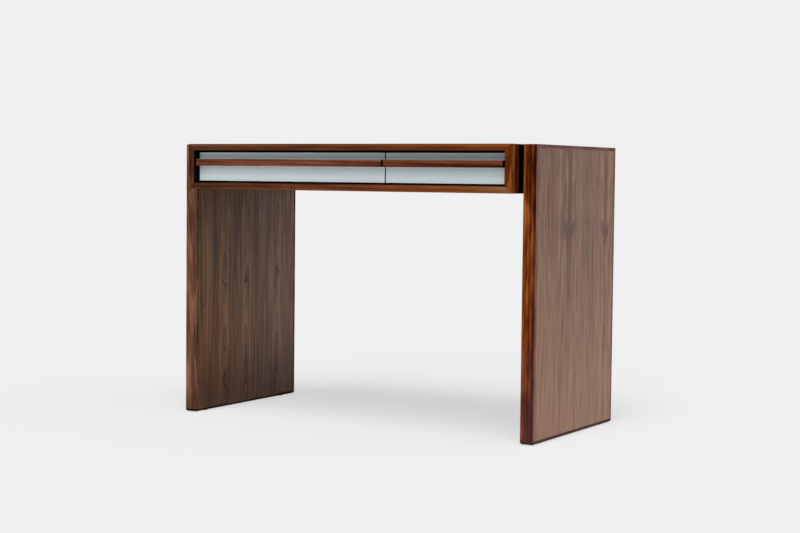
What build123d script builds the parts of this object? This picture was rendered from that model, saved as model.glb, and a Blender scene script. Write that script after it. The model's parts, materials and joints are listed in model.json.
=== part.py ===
from build123d import *

import os
from dataclasses import dataclass

# Console table: two slab legs carry a mitred case with two metal-fronted drawers.
# Millimetres. The floor is z = 0, the front faces -Y, and the origin is the middle of the footprint.

# Overall size
WIDTH = 1118.0
HEIGHT = 775.0
LEG_DEPTH = 508.0
CASE_LEAD = 51.0

# Slab legs
LEG_THICKNESS = 38.0
LEG_LIPPING = 9.5
LEG_ROUND = 1.5
FOOT_CHAMFER = 4.0

# Floor glides under the legs
GLIDE_RADIUS = 12.0
GLIDE_HEIGHT = 2.0
GLIDE_STEM_RADIUS = 3.0
GLIDE_STEM = 7.0
GLIDE_INSET = 60.0
GLIDES_PER_LEG = 2

# Drawer case
CASE_HEIGHT = 127.0
CASE_BOARD = 19.0
CASE_LIPPING = 11.0
CASE_ROUND = 1.0
MOUTH_ROUND = 0.6
BACK_THICKNESS = 12.0
BACK_REBATE = 9.5
BACK_GAP = 0.3

# Splines in the mitred corners
SPLINE_THICKNESS = 4.0
SPLINE_WIDTH = 14.0
SPLINE_FROM_INSIDE = 11.0

# Divider between the drawer bays, held by dowels
RIGHT_BAY = 364.0
DIVIDER_THICKNESS = 19.0
DIVIDER_SETBACK = 1.5
DOWEL_RADIUS = 4.0
DOWEL_IN_CASE = 10.0
DOWEL_IN_DIVIDER = 15.0
DOWEL_END_INSET = 60.0
DOWEL_COUNT = 3

# Spacers, bolts and threaded inserts between case and legs
SPACER_THICKNESS = 10.0
SPACER_SETBACK = 25.0
SPACER_DROP = 10.0
BOLT_RADIUS = 4.0
BOLT_HEAD_RADIUS = 7.0
BOLT_HEAD_HEIGHT = 4.4
BOLT_SOCKET = 5.0
BOLT_SOCKET_DEPTH = 2.6
BOLT_TIP_GAP = 2.0
BOLT_END_INSET = 55.0
BOLT_FROM_BOARD = 10.0
BOLT_ROWS = 2
BOLT_TIERS = 2
INSERT_RADIUS = 6.0
INSERT_LENGTH = 20.0

# Drawer fronts and pull rails
FRONT_RECESS = 20.0
FRONT_THICKNESS = 3.0
FRONT_REVEAL = 4.5
FRONT_SEAM = 2.5
FRONT_EASE = 0.4
PULL_HEIGHT = 19.0
PULL_DEPTH = 19.0
PULL_DROP = 19.0
PULL_END_SETBACK = 0.75
PULL_ROUND = 0.8

# Drawer boxes
BOX_BOARD = 12.0
BOX_BELOW = 12.0
BOX_ABOVE = 15.0
BOX_FINGERS = 5
BOTTOM_THICKNESS = 6.0
BOTTOM_RISE = 8.0
BOTTOM_GROOVE = 5.0
BOTTOM_GAP = 0.3

# Telescopic slides
SLIDE_LENGTH = 450.0
SLIDE_WIDTH = 12.7
SLIDE_HEIGHT = 35.0
SLIDE_SETBACK = 3.0
SLIDE_BEHIND = 3.0
RAIL_STEEL = 1.2
RAIL_GAP = 0.3
RAIL_LIP_GAP = 2.5
RAIL_WEB_GAP = 2.2
RAIL_SCREWS = 3
RAIL_SCREW_INSET = 35.0
RAIL_SCREW_STAGGER = 14.0

# Wood screws
SCREW_RADIUS = 1.75
SCREW_HEAD_RADIUS = 3.6
SCREW_HEAD_HEIGHT = 1.5
SCREW_CROSS = 0.8
SCREW_CROSS_DEPTH = 0.9
RAIL_SCREW_GRIP = 8.0
PULL_SCREW_GRIP = 13.0
PULL_SCREW_INSET = 70.0
LEFT_PULL_SCREWS = 3
RIGHT_PULL_SCREWS = 2
BACK_SCREW_GRIP = 16.0
BACK_SCREW_INSET = 60.0
BACK_SCREW_COUNT = 4

# Clearance of every pin, screw and spline in its hole
HOLE_GAP = 0.15

# Planes that several pieces share
DEPTH = LEG_DEPTH + CASE_LEAD
FRONT = -DEPTH / 2
BACK = DEPTH / 2
LEG_FRONT = FRONT + CASE_LEAD
LEG_FOOT = GLIDE_HEIGHT
CASE_HALF = WIDTH / 2 - LEG_THICKNESS - SPACER_THICKNESS
CASE_BOTTOM = HEIGHT - CASE_HEIGHT
CASE_TOP = HEIGHT
MOUTH_HALF = CASE_HALF - CASE_BOARD
MOUTH_BOTTOM = CASE_BOTTOM + CASE_BOARD
MOUTH_TOP = CASE_TOP - CASE_BOARD
BOARD_FRONT = FRONT + CASE_LIPPING
REBATE_FRONT = BACK - BACK_THICKNESS
PLATE_FRONT = FRONT + FRONT_RECESS
PLATE_BACK = PLATE_FRONT + FRONT_THICKNESS
PLATE_BOTTOM = MOUTH_BOTTOM + FRONT_REVEAL
PLATE_TOP = MOUTH_TOP - FRONT_REVEAL
PULL_TOP = PLATE_TOP - PULL_DROP
SEAM = MOUTH_HALF - RIGHT_BAY
DIVIDER_SPAN = (SEAM - DIVIDER_THICKNESS / 2, SEAM + DIVIDER_THICKNESS / 2)
DIVIDER_FRONT = PLATE_BACK + DIVIDER_SETBACK
BOX_BOTTOM = MOUTH_BOTTOM + BOX_BELOW
BOX_TOP = MOUTH_TOP - BOX_ABOVE
SLIDE_FRONT = PLATE_BACK + SLIDE_SETBACK
SLIDE_BACK = SLIDE_FRONT + SLIDE_LENGTH
BOX_BACK = SLIDE_BACK + SLIDE_BEHIND
SLIDE_MIDDLE = (BOX_BOTTOM + BOX_TOP) / 2
SPACER_SPAN = (LEG_FRONT + SPACER_SETBACK, BACK - SPACER_SETBACK)

# Directions, turns and how far a cut runs past what it cuts
SIDES = {"left": -1, "right": 1}
TO_FRONT = (0, -1, 0)
TO_RIGHT = (1, 0, 0)
UP = (0, 0, 1)
MITRE = 45
QUARTER_TURN = 90
HEX_SIDES = 6
PAST = 1.0


@dataclass(frozen=True)
class Drawer:
    """The bay a drawer runs in, the ends of its metal front and how many screws hold its pull."""

    name: str
    bay: tuple
    plate: tuple
    pull_screws: int


DRAWERS = (
    Drawer(
        name="left_drawer",
        bay=(-MOUTH_HALF, DIVIDER_SPAN[0]),
        plate=(-MOUTH_HALF + FRONT_REVEAL, SEAM - FRONT_SEAM / 2),
        pull_screws=LEFT_PULL_SCREWS,
    ),
    Drawer(
        name="right_drawer",
        bay=(DIVIDER_SPAN[1], MOUTH_HALF),
        plate=(SEAM + FRONT_SEAM / 2, MOUTH_HALF - FRONT_REVEAL),
        pull_screws=RIGHT_PULL_SCREWS,
    ),
)


def block(x, y, z):
    """A box between two limits along each axis, given in either order."""
    limits = [sorted(pair) for pair in (x, y, z)]
    size = [high - low for low, high in limits]
    middle = [(low + high) / 2 for low, high in limits]
    return Pos(*middle) * Box(*size)


def grown(limits, by):
    """Two limits moved apart by the same amount at each end."""
    low, high = sorted(limits)
    return (low - by, high + by)


def spread(limits, inset, count):
    """Evenly spaced places between two limits, the first and last one an inset away from them."""
    first, last = grown(limits, -inset)
    if count == 1:
        return [(first + last) / 2]
    step = (last - first) / (count - 1)
    return [first + index * step for index in range(count)]


def pointing(origin, direction):
    """The place of a piece whose own +Z points in a direction."""
    return Plane(origin=origin, z_dir=direction).location


def rod(radius, length):
    """A round bar that stands on its own origin and rises along +Z."""
    return Cylinder(radius, length, align=(Align.CENTER, Align.CENTER, Align.MIN))


def prism(plane, outline, direction, length):
    """A straight-sided piece from an outline on a plane."""
    return extrude(plane * Polygon(*outline, align=None), amount=length, dir=direction)


def mitred_borders(outer, inner):
    """Outlines of the four borders between two rectangles, each (low, high) by (bottom, top)."""
    corners = []
    for (low, high), (bottom, top) in (outer, inner):
        corners.append([(low, bottom), (high, bottom), (high, top), (low, top)])
    borders = {}
    for index, name in enumerate(("bottom", "high", "top", "low")):
        after = (index + 1) % len(corners[0])
        borders[name] = [corners[0][index], corners[0][after], corners[1][after], corners[1][index]]
    return borders


# Fasteners, each along +Z from the face its head bears on


def pan_screw(grip):
    """A wood screw with a low round head and a cross recess, head below the origin."""
    head = Pos(0, 0, -SCREW_HEAD_HEIGHT) * rod(SCREW_HEAD_RADIUS, SCREW_HEAD_HEIGHT)
    bar = Box(SCREW_HEAD_RADIUS, SCREW_CROSS, 2 * SCREW_CROSS_DEPTH)
    cross = Pos(0, 0, -SCREW_HEAD_HEIGHT) * (bar + Rot(0, 0, QUARTER_TURN) * bar)
    return head + rod(SCREW_RADIUS, grip) - cross


def screw_hole(grip):
    """The hole for the shank of a screw."""
    return rod(SCREW_RADIUS + HOLE_GAP, grip + HOLE_GAP)


def leg_bolt():
    """A bolt with a round socket head that reaches from the case side into the leg's insert."""
    grip = CASE_BOARD + SPACER_THICKNESS + INSERT_LENGTH - BOLT_TIP_GAP
    head = Pos(0, 0, -BOLT_HEAD_HEIGHT) * rod(BOLT_HEAD_RADIUS, BOLT_HEAD_HEIGHT)
    rim = head.edges().filter_by(GeomType.CIRCLE).group_by(Axis.Z)[0]
    head = fillet(rim, BOLT_HEAD_HEIGHT / 2)
    profile = RegularPolygon(BOLT_SOCKET / 2, HEX_SIDES, major_radius=False)
    socket = Pos(0, 0, -BOLT_HEAD_HEIGHT) * extrude(profile, amount=BOLT_SOCKET_DEPTH, dir=UP)
    return head + rod(BOLT_RADIUS, grip) - socket


def bolt_places(side):
    """Where the bolt heads of one side bear on the inside of the case."""
    places = []
    for y in spread(SPACER_SPAN, BOLT_END_INSET, BOLT_ROWS):
        for z in spread((MOUTH_BOTTOM, MOUTH_TOP), BOLT_FROM_BOARD, BOLT_TIERS):
            places.append((side * MOUTH_HALF, y, z))
    return places


def bolt_holes(side):
    """The clearance holes of one side's bolts, from the inside of the case to the leg."""
    reach = CASE_BOARD + SPACER_THICKNESS
    hole = rod(BOLT_RADIUS + HOLE_GAP, reach)
    return [pointing(place, (side, 0, 0)) * hole for place in bolt_places(side)]


def insert_places(side):
    """Where the inserts of one side start, on the inner face of the leg."""
    inner_face, _ = leg_span(side)
    return [(inner_face, y, z) for _, y, z in bolt_places(side)]


# Slab legs


def leg_span(side):
    """The inner and outer face of one leg."""
    return (side * (WIDTH / 2 - LEG_THICKNESS), side * WIDTH / 2)


def leg_blank(side):
    """One whole slab with eased edges and a chamfered foot, before it is divided into its pieces."""
    across = leg_span(side)
    slab = block(across, (LEG_FRONT, BACK), (LEG_FOOT, HEIGHT))
    slab = fillet(slab.edges().filter_by(Axis.Z), LEG_ROUND)
    slab = fillet(slab.faces().sort_by(Axis.Z)[-1].edges(), LEG_ROUND)
    foot = block(grown(across, PAST), grown((LEG_FRONT, BACK), PAST), (LEG_FOOT, HEIGHT + PAST))
    foot = chamfer(foot.faces().sort_by(Axis.Z)[0].edges(), FOOT_CHAMFER + PAST)
    return slab & foot


def glide_places(side):
    """The middle of each glide under one leg, on the floor."""
    x = sum(leg_span(side)) / 2
    return [(x, y, 0) for y in spread((LEG_FRONT, BACK), GLIDE_INSET, GLIDES_PER_LEG)]


def floor_glides():
    """Round glides under both legs, each with a stem that is pressed into the foot."""
    disc = rod(GLIDE_RADIUS, GLIDE_HEIGHT)
    stem = Pos(0, 0, GLIDE_HEIGHT) * rod(GLIDE_STEM_RADIUS, GLIDE_STEM)
    glide = disc + stem
    return [Pos(*place) * glide for side in SIDES.values() for place in glide_places(side)]


def leg_holes(side):
    """The sockets of one leg's inserts and the holes for the stems of its glides."""
    socket = rod(INSERT_RADIUS + HOLE_GAP, INSERT_LENGTH + HOLE_GAP)
    stem = rod(GLIDE_STEM_RADIUS + HOLE_GAP, GLIDE_STEM + HOLE_GAP)
    holes = [pointing(place, (side, 0, 0)) * socket for place in insert_places(side)]
    holes += [Pos(x, y, LEG_FOOT) * stem for x, y, _ in glide_places(side)]
    return holes


def leg_pieces(name, side):
    """The veneered panel of one leg and the solid lippings mitred round it."""
    blank = leg_blank(side)
    outer = ((LEG_FRONT, BACK), (LEG_FOOT, HEIGHT))
    inner = tuple(grown(limits, -LEG_LIPPING) for limits in outer)
    across = leg_span(side)
    holes = leg_holes(side)
    pieces = {f"{name}_leg_panel": block(across, *inner) - holes}
    plane = Plane.YZ.offset(min(across))
    edges = {"low": "front", "high": "rear", "top": "top", "bottom": "bottom"}
    for border, outline in mitred_borders(outer, inner).items():
        wedge = prism(plane, outline, TO_RIGHT, LEG_THICKNESS)
        pieces[f"{name}_leg_{edges[border]}_lipping"] = (blank & wedge) - holes
    return pieces


def spacer(side):
    """The dark strip that holds the case off one leg."""
    across = (side * CASE_HALF, side * (CASE_HALF + SPACER_THICKNESS))
    upright = (CASE_BOTTOM + SPACER_DROP, CASE_TOP - SPACER_DROP)
    return block(across, SPACER_SPAN, upright) - bolt_holes(side)


def leg_fasteners():
    """The bolts from the case into both legs, and the inserts that take them."""
    bolt = leg_bolt()
    insert = rod(INSERT_RADIUS, INSERT_LENGTH) - rod(BOLT_RADIUS + HOLE_GAP, INSERT_LENGTH)
    bolts = []
    inserts = []
    for side in SIDES.values():
        outwards = (side, 0, 0)
        bolts += [pointing(place, outwards) * bolt for place in bolt_places(side)]
        inserts += [pointing(place, outwards) * insert for place in insert_places(side)]
    return {"leg_bolts": bolts, "leg_inserts": inserts}


# Drawer case


def case_blank():
    """The whole case as one tube with eased edges, before it is divided into boards."""
    tube = block((-CASE_HALF, CASE_HALF), (FRONT, BACK), (CASE_BOTTOM, CASE_TOP))
    tube = fillet(tube.edges(), CASE_ROUND)
    mouth = block(
        (-MOUTH_HALF, MOUTH_HALF), (FRONT - PAST, BACK + PAST), (MOUTH_BOTTOM, MOUTH_TOP)
    )
    tube -= mouth
    rim = tube.faces().sort_by(Axis.Y)[0].inner_wires()[0]
    tube = fillet(rim.edges(), MOUTH_ROUND)
    return tube - back_blank(0)


def back_blank(gap):
    """The back panel in its rebate, with a gap round its edges."""
    across = grown((-MOUTH_HALF, MOUTH_HALF), BACK_REBATE - gap)
    upright = grown((MOUTH_BOTTOM, MOUTH_TOP), BACK_REBATE - gap)
    return block(across, (REBATE_FRONT, BACK), upright)


def back_screw_places():
    """Where the heads of the back panel's screws bear, along its top and bottom edge."""
    across = grown((-MOUTH_HALF, MOUTH_HALF), BACK_REBATE)
    places = []
    for z in grown((MOUTH_BOTTOM, MOUTH_TOP), BACK_REBATE / 2):
        for x in spread(across, BACK_SCREW_INSET, BACK_SCREW_COUNT):
            places.append((x, BACK, z))
    return places


def back_holes():
    """The holes of the back panel's screws, heads sunk level with the panel."""
    sink = rod(SCREW_HEAD_RADIUS + HOLE_GAP, SCREW_HEAD_HEIGHT)
    shank = rod(SCREW_RADIUS + HOLE_GAP, BACK_THICKNESS + BACK_SCREW_GRIP + HOLE_GAP)
    return [pointing(place, TO_FRONT) * (sink + shank) for place in back_screw_places()]


def back_screws():
    """The sunk screws of the back panel."""
    grip = BACK_THICKNESS + BACK_SCREW_GRIP - SCREW_HEAD_HEIGHT
    screw = Pos(0, 0, SCREW_HEAD_HEIGHT) * pan_screw(grip)
    return [pointing(place, TO_FRONT) * screw for place in back_screw_places()]


def corner_splines(gap):
    """The splines that cross the four mitres, with a gap round them when they cut their slots."""
    along = SPLINE_FROM_INSIDE / 2**0.5
    length = REBATE_FRONT - BOARD_FRONT
    bar = Box(SPLINE_WIDTH + 2 * gap, length, SPLINE_THICKNESS + 2 * gap)
    splines = []
    for side in SIDES.values():
        for upward, z in ((1, MOUTH_TOP), (-1, MOUTH_BOTTOM)):
            place = (side * (MOUTH_HALF + along), (REBATE_FRONT + BOARD_FRONT) / 2, z + upward * along)
            splines.append(Pos(*place) * Rot(0, side * upward * MITRE, 0) * bar)
    return splines


def divider_dowels(gap):
    """The dowels above and below the divider, with a gap round them when they cut their holes."""
    length = DOWEL_IN_CASE + DOWEL_IN_DIVIDER + 2 * gap
    dowel = rod(DOWEL_RADIUS + gap, length)
    dowels = []
    for y in spread((DIVIDER_FRONT, REBATE_FRONT), DOWEL_END_INSET, DOWEL_COUNT):
        dowels.append(Pos(SEAM, y, MOUTH_BOTTOM - DOWEL_IN_CASE - gap) * dowel)
        dowels.append(Pos(SEAM, y, MOUTH_TOP - DOWEL_IN_DIVIDER - gap) * dowel)
    return dowels


def case_pieces():
    """The mitred boards of the case with their front lippings, its divider and its back."""
    blank = case_blank()
    outer = ((-CASE_HALF, CASE_HALF), (CASE_BOTTOM, CASE_TOP))
    inner = ((-MOUTH_HALF, MOUTH_HALF), (MOUTH_BOTTOM, MOUTH_TOP))
    names = {"low": "left", "high": "right", "top": "top", "bottom": "bottom"}
    boards = {"left": "left_side", "right": "right_side", "top": "top", "bottom": "bottom"}
    pieces = {}
    cuts = corner_splines(HOLE_GAP) + divider_dowels(HOLE_GAP) + back_holes()
    for side in SIDES.values():
        cuts += bolt_holes(side)
    cuts += [hole for drawer in DRAWERS for hole in case_rail_holes(drawer)]
    for border, outline in mitred_borders(outer, inner).items():
        name = names[border]
        board = prism(Plane.XZ.offset(-BACK), outline, TO_FRONT, BACK - BOARD_FRONT)
        lipping = prism(Plane.XZ.offset(-BOARD_FRONT), outline, TO_FRONT, CASE_LIPPING)
        pieces[f"case_{boards[name]}"] = (blank & board) - cuts
        pieces[f"case_{name}_lipping"] = blank & lipping
    divider = block(DIVIDER_SPAN, (DIVIDER_FRONT, REBATE_FRONT), (MOUTH_BOTTOM, MOUTH_TOP))
    pieces["drawer_divider"] = divider - cuts
    pieces["case_back"] = back_blank(BACK_GAP) - back_holes()
    return pieces


# Drawers


def box_span(drawer):
    """The outer sides of a drawer box, between its slides."""
    return grown(drawer.bay, -SLIDE_WIDTH)


def pull_screw_places(drawer):
    """Where the heads of the pull's screws bear, on the inside of the box front."""
    z = PULL_TOP - PULL_HEIGHT / 2
    inside = PLATE_BACK + BOX_BOARD
    return [(x, inside, z) for x in spread(box_span(drawer), PULL_SCREW_INSET, drawer.pull_screws)]


def pull_screw_grip():
    """How far a pull's screw reaches: through box front and metal front into the pull."""
    return BOX_BOARD + FRONT_THICKNESS + PULL_SCREW_GRIP


def pull_screw_holes(drawer):
    """The holes of a pull's screws."""
    hole = screw_hole(pull_screw_grip())
    return [pointing(place, TO_FRONT) * hole for place in pull_screw_places(drawer)]


def front_pieces(drawer):
    """The metal front of a drawer, the pull rail across it and the screws that hold both."""
    plate = block(drawer.plate, (PLATE_FRONT, PLATE_BACK), (PLATE_BOTTOM, PLATE_TOP))
    plate = chamfer(plate.faces().sort_by(Axis.Y)[0].edges(), FRONT_EASE)
    pull = block(
        grown(drawer.plate, -PULL_END_SETBACK),
        (PLATE_FRONT - PULL_DEPTH, PLATE_FRONT),
        (PULL_TOP - PULL_HEIGHT, PULL_TOP),
    )
    back_edges = pull.faces().sort_by(Axis.Y)[-1].edges()
    pull = fillet([edge for edge in pull.edges() if edge not in back_edges], PULL_ROUND)
    holes = pull_screw_holes(drawer)
    screw = pan_screw(pull_screw_grip())
    return {
        f"{drawer.name}_front": plate - holes,
        f"{drawer.name}_pull": pull - holes,
        f"{drawer.name}_pull_screws": [
            pointing(place, TO_FRONT) * screw for place in pull_screw_places(drawer)
        ],
    }


def box_bottom(drawer, gap):
    """The thin bottom of a drawer box, let into grooves, with a gap left at its edges."""
    grip = BOX_BOARD - BOTTOM_GROOVE + gap
    across = grown(box_span(drawer), -grip)
    along = grown((PLATE_BACK, BOX_BACK), -grip)
    low = BOX_BOTTOM + BOTTOM_RISE
    return block(across, along, (low, low + BOTTOM_THICKNESS))


def finger_limits(odd):
    """The heights of every other finger of a corner joint, starting at the lowest or the next one."""
    pitch = (BOX_TOP - BOX_BOTTOM) / BOX_FINGERS
    lows = [BOX_BOTTOM + index * pitch for index in range(int(odd), BOX_FINGERS, 2)]
    return [(low, low + pitch) for low in lows]


def box_pieces(drawer):
    """The finger-jointed boards of a drawer box and its bottom."""
    left, right = box_span(drawer)
    upright = (BOX_BOTTOM, BOX_TOP)
    sides = {"left": (left, left + BOX_BOARD), "right": (right - BOX_BOARD, right)}
    ends = {"front": (PLATE_BACK, PLATE_BACK + BOX_BOARD), "back": (BOX_BACK - BOX_BOARD, BOX_BACK)}
    groove = box_bottom(drawer, 0)
    cuts = [groove] + pull_screw_holes(drawer) + box_rail_holes(drawer)
    pieces = {}
    for name, across in sides.items():
        notches = [block(across, y, z) for y in ends.values() for z in finger_limits(True)]
        board = block(across, (PLATE_BACK, BOX_BACK), upright)
        pieces[f"{drawer.name}_{name}_side"] = board - notches - cuts
    for name, along in ends.items():
        notches = [block(x, along, z) for x in sides.values() for z in finger_limits(False)]
        board = block((left, right), along, upright)
        pieces[f"{drawer.name}_box_{name}"] = board - notches - cuts
    pieces[f"{drawer.name}_bottom"] = box_bottom(drawer, BOTTOM_GAP)
    return pieces


# Telescopic slides, each measured from the wall of the bay towards the drawer box


def channel(wall, inwards, web, lip, height):
    """A steel channel of a slide, its web and the lips of its flanges measured from the bay's wall."""
    along = (SLIDE_FRONT, SLIDE_BACK)
    towards = 1 if lip > web else -1
    inner_web = web + towards * RAIL_STEEL
    past_lip = lip + towards * PAST
    upright = grown((SLIDE_MIDDLE, SLIDE_MIDDLE), height / 2)
    outside = block((wall + inwards * web, wall + inwards * lip), along, upright)
    hollow = block(
        (wall + inwards * inner_web, wall + inwards * past_lip),
        grown(along, PAST),
        grown(upright, -RAIL_STEEL),
    )
    return outside - hollow


def rail_screw_places(x, inwards):
    """Where a rail's screws pass through a face at x, staggered so that those across a board miss."""
    shift = inwards * RAIL_SCREW_STAGGER / 2
    rows = spread((SLIDE_FRONT, SLIDE_BACK), RAIL_SCREW_INSET, RAIL_SCREWS)
    return [(x, y + shift, SLIDE_MIDDLE) for y in rows]


def bay_walls(drawer):
    """Each side of a drawer's bay: the wall it starts from and the direction towards the box."""
    left, right = drawer.bay
    return {"left": (left, 1), "right": (right, -1)}


def case_rail_screws(drawer, shape):
    """A screw, or a hole for one, at each place where the case rails are fixed to the bay's walls."""
    pieces = []
    for wall, inwards in bay_walls(drawer).values():
        for place in rail_screw_places(wall + inwards * RAIL_STEEL, inwards):
            pieces.append(pointing(place, (-inwards, 0, 0)) * shape)
    return pieces


def box_rail_screws(drawer, shape):
    """A screw, or a hole for one, at each place where the drawer rails are fixed to the box."""
    pieces = []
    for wall, inwards in bay_walls(drawer).values():
        for place in rail_screw_places(wall + inwards * (SLIDE_WIDTH - RAIL_STEEL), inwards):
            pieces.append(pointing(place, (inwards, 0, 0)) * shape)
    return pieces


def case_rail_holes(drawer):
    """The holes of the screws that fix the case rails."""
    return case_rail_screws(drawer, screw_hole(RAIL_STEEL + RAIL_SCREW_GRIP))


def box_rail_holes(drawer):
    """The holes of the screws that fix the drawer rails."""
    return box_rail_screws(drawer, screw_hole(RAIL_STEEL + RAIL_SCREW_GRIP))


def slide_pieces(drawer):
    """The nested rails of a drawer's two slides and the screws in the box."""
    nest = RAIL_STEEL + RAIL_GAP
    middle_web = RAIL_STEEL + RAIL_WEB_GAP
    lips = SLIDE_WIDTH - RAIL_LIP_GAP
    inner_lips = middle_web + RAIL_STEEL + RAIL_GAP
    pieces = {}
    for name, (wall, inwards) in bay_walls(drawer).items():
        case_rail = channel(wall, inwards, 0, lips, SLIDE_HEIGHT)
        middle_rail = channel(wall, inwards, middle_web, lips, SLIDE_HEIGHT - 2 * nest)
        drawer_rail = channel(wall, inwards, SLIDE_WIDTH, inner_lips, SLIDE_HEIGHT - 4 * nest)
        pieces[f"{drawer.name}_{name}_case_rail"] = case_rail - case_rail_holes(drawer)
        pieces[f"{drawer.name}_{name}_middle_rail"] = middle_rail
        pieces[f"{drawer.name}_{name}_drawer_rail"] = drawer_rail - box_rail_holes(drawer)
    screw = pan_screw(RAIL_STEEL + RAIL_SCREW_GRIP)
    pieces[f"{drawer.name}_rail_screws"] = box_rail_screws(drawer, screw)
    return pieces


def case_screws():
    """The screws that fix the case rails of both drawers."""
    screw = pan_screw(RAIL_STEEL + RAIL_SCREW_GRIP)
    return [piece for drawer in DRAWERS for piece in case_rail_screws(drawer, screw)]


def all_pieces():
    """Every node of the table by name, a single solid or a list of separate ones."""
    pieces = {}
    for name, side in SIDES.items():
        pieces.update(leg_pieces(name, side))
        pieces[f"{name}_spacer"] = spacer(side)
    pieces.update(leg_fasteners())
    pieces["floor_glides"] = floor_glides()
    pieces.update(case_pieces())
    pieces["corner_splines"] = corner_splines(0)
    pieces["divider_dowels"] = divider_dowels(0)
    pieces["back_screws"] = back_screws()
    for drawer in DRAWERS:
        pieces.update(front_pieces(drawer))
        pieces.update(box_pieces(drawer))
        pieces.update(slide_pieces(drawer))
    pieces["case_rail_screws"] = case_screws()
    return pieces


os.makedirs("parts", exist_ok=True)
for node, piece in all_pieces().items():
    shape = Compound(piece) if isinstance(piece, list) else piece
    export_step(shape, f"parts/{node}.step")
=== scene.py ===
import json
import logging
import math
from dataclasses import dataclass, field, replace
from enum import Enum
from typing import Any, Dict, List, Optional, Sequence, Tuple, Union

import bmesh
import bpy
from mathutils import Matrix, Vector


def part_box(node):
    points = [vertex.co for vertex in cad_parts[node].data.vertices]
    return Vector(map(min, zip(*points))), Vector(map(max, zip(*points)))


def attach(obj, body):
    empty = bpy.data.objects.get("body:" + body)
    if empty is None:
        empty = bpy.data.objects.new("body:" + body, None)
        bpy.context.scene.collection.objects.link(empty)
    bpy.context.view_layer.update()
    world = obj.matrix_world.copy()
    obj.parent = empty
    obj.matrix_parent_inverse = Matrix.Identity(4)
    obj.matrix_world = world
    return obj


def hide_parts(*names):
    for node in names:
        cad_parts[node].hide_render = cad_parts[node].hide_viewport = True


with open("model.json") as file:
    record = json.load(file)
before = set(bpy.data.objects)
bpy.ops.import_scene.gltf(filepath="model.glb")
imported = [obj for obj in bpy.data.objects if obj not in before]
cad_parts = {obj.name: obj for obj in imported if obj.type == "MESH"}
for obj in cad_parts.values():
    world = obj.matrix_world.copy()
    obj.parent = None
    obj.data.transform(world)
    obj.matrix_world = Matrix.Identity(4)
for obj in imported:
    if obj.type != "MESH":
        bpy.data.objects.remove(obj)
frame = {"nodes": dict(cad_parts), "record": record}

LOG = logging.getLogger("console_table")

Colour = Tuple[float, float, float]
Stops = Sequence[Tuple[float, Colour]]
Box = Tuple[Vector, Vector]
Fade = Tuple[float, float]

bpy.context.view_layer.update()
NODES = frame["nodes"]
BODY_OF_NODE = {
    node: body for body, members in frame["record"]["behaviour"]["bodies"].items() for node in members
}
SIDES = ("left", "right")
LEG_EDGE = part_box("right_leg_front_lipping")
LEG_INSIDE = LEG_EDGE[0].x
LEG_OUTSIDE = LEG_EDGE[1].x
LEG_FRONT = LEG_EDGE[0].y
MOUTH_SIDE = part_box("case_right_lipping")[0].x
MOUTH_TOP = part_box("case_top_lipping")[0].z
MOUTH_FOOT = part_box("case_bottom_lipping")[1].z
CASE_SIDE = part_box("case_right_side")[1].x
CASE_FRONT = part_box("case_right_lipping")[0].y
FRONT_SEAM = (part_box("left_drawer_front")[1].x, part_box("right_drawer_front")[0].x)
DIVIDER_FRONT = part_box("drawer_divider")[0].y
RIM = 0.0005
# How far painted black shade reaches in from an edge.
SHADE_REACH = 0.0020
HALF = 0.5
MIX_SHARE = 0
MIX_FIRST = 6
MIX_SECOND = 7
MIX_RESULT = 2
SCREEN_LEVELS = 255
CURVE_START = 0.04045
CURVE_FOOT = 12.92
CURVE_SHIFT = 0.055
CURVE_POWER = 2.4


class Grain(Enum):
    """A direction of the table, such as the one that a piece of timber's fibres run in."""

    WIDTH = "x"
    DEPTH = "y"
    HEIGHT = "z"


def hull(*nodes: str) -> Box:
    """The box round several nodes of the frame.

    Args:
        *nodes: The nodes' names.

    Returns:
        The box's lowest and highest corner.
    """
    corners = [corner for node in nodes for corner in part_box(node)]
    low = Vector([min(corner[axis] for corner in corners) for axis in range(3)])
    high = Vector([max(corner[axis] for corner in corners) for axis in range(3)])
    return low, high


def paint(red: int, green: int, blue: int) -> Colour:
    """Turns a colour written as 0 to 255 on a screen into the linear light that a shader takes.

    Args:
        red: Red, from 0 to 255.
        green: Green, from 0 to 255.
        blue: Blue, from 0 to 255.

    Returns:
        The linear colour.
    """
    colour = []
    for level in (red, green, blue):
        share = level / SCREEN_LEVELS
        if share <= CURVE_START:
            colour.append(share / CURVE_FOOT)
        else:
            colour.append(((share + CURVE_SHIFT) / (1.0 + CURVE_SHIFT)) ** CURVE_POWER)
    return tuple(colour)


# Node trees


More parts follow.
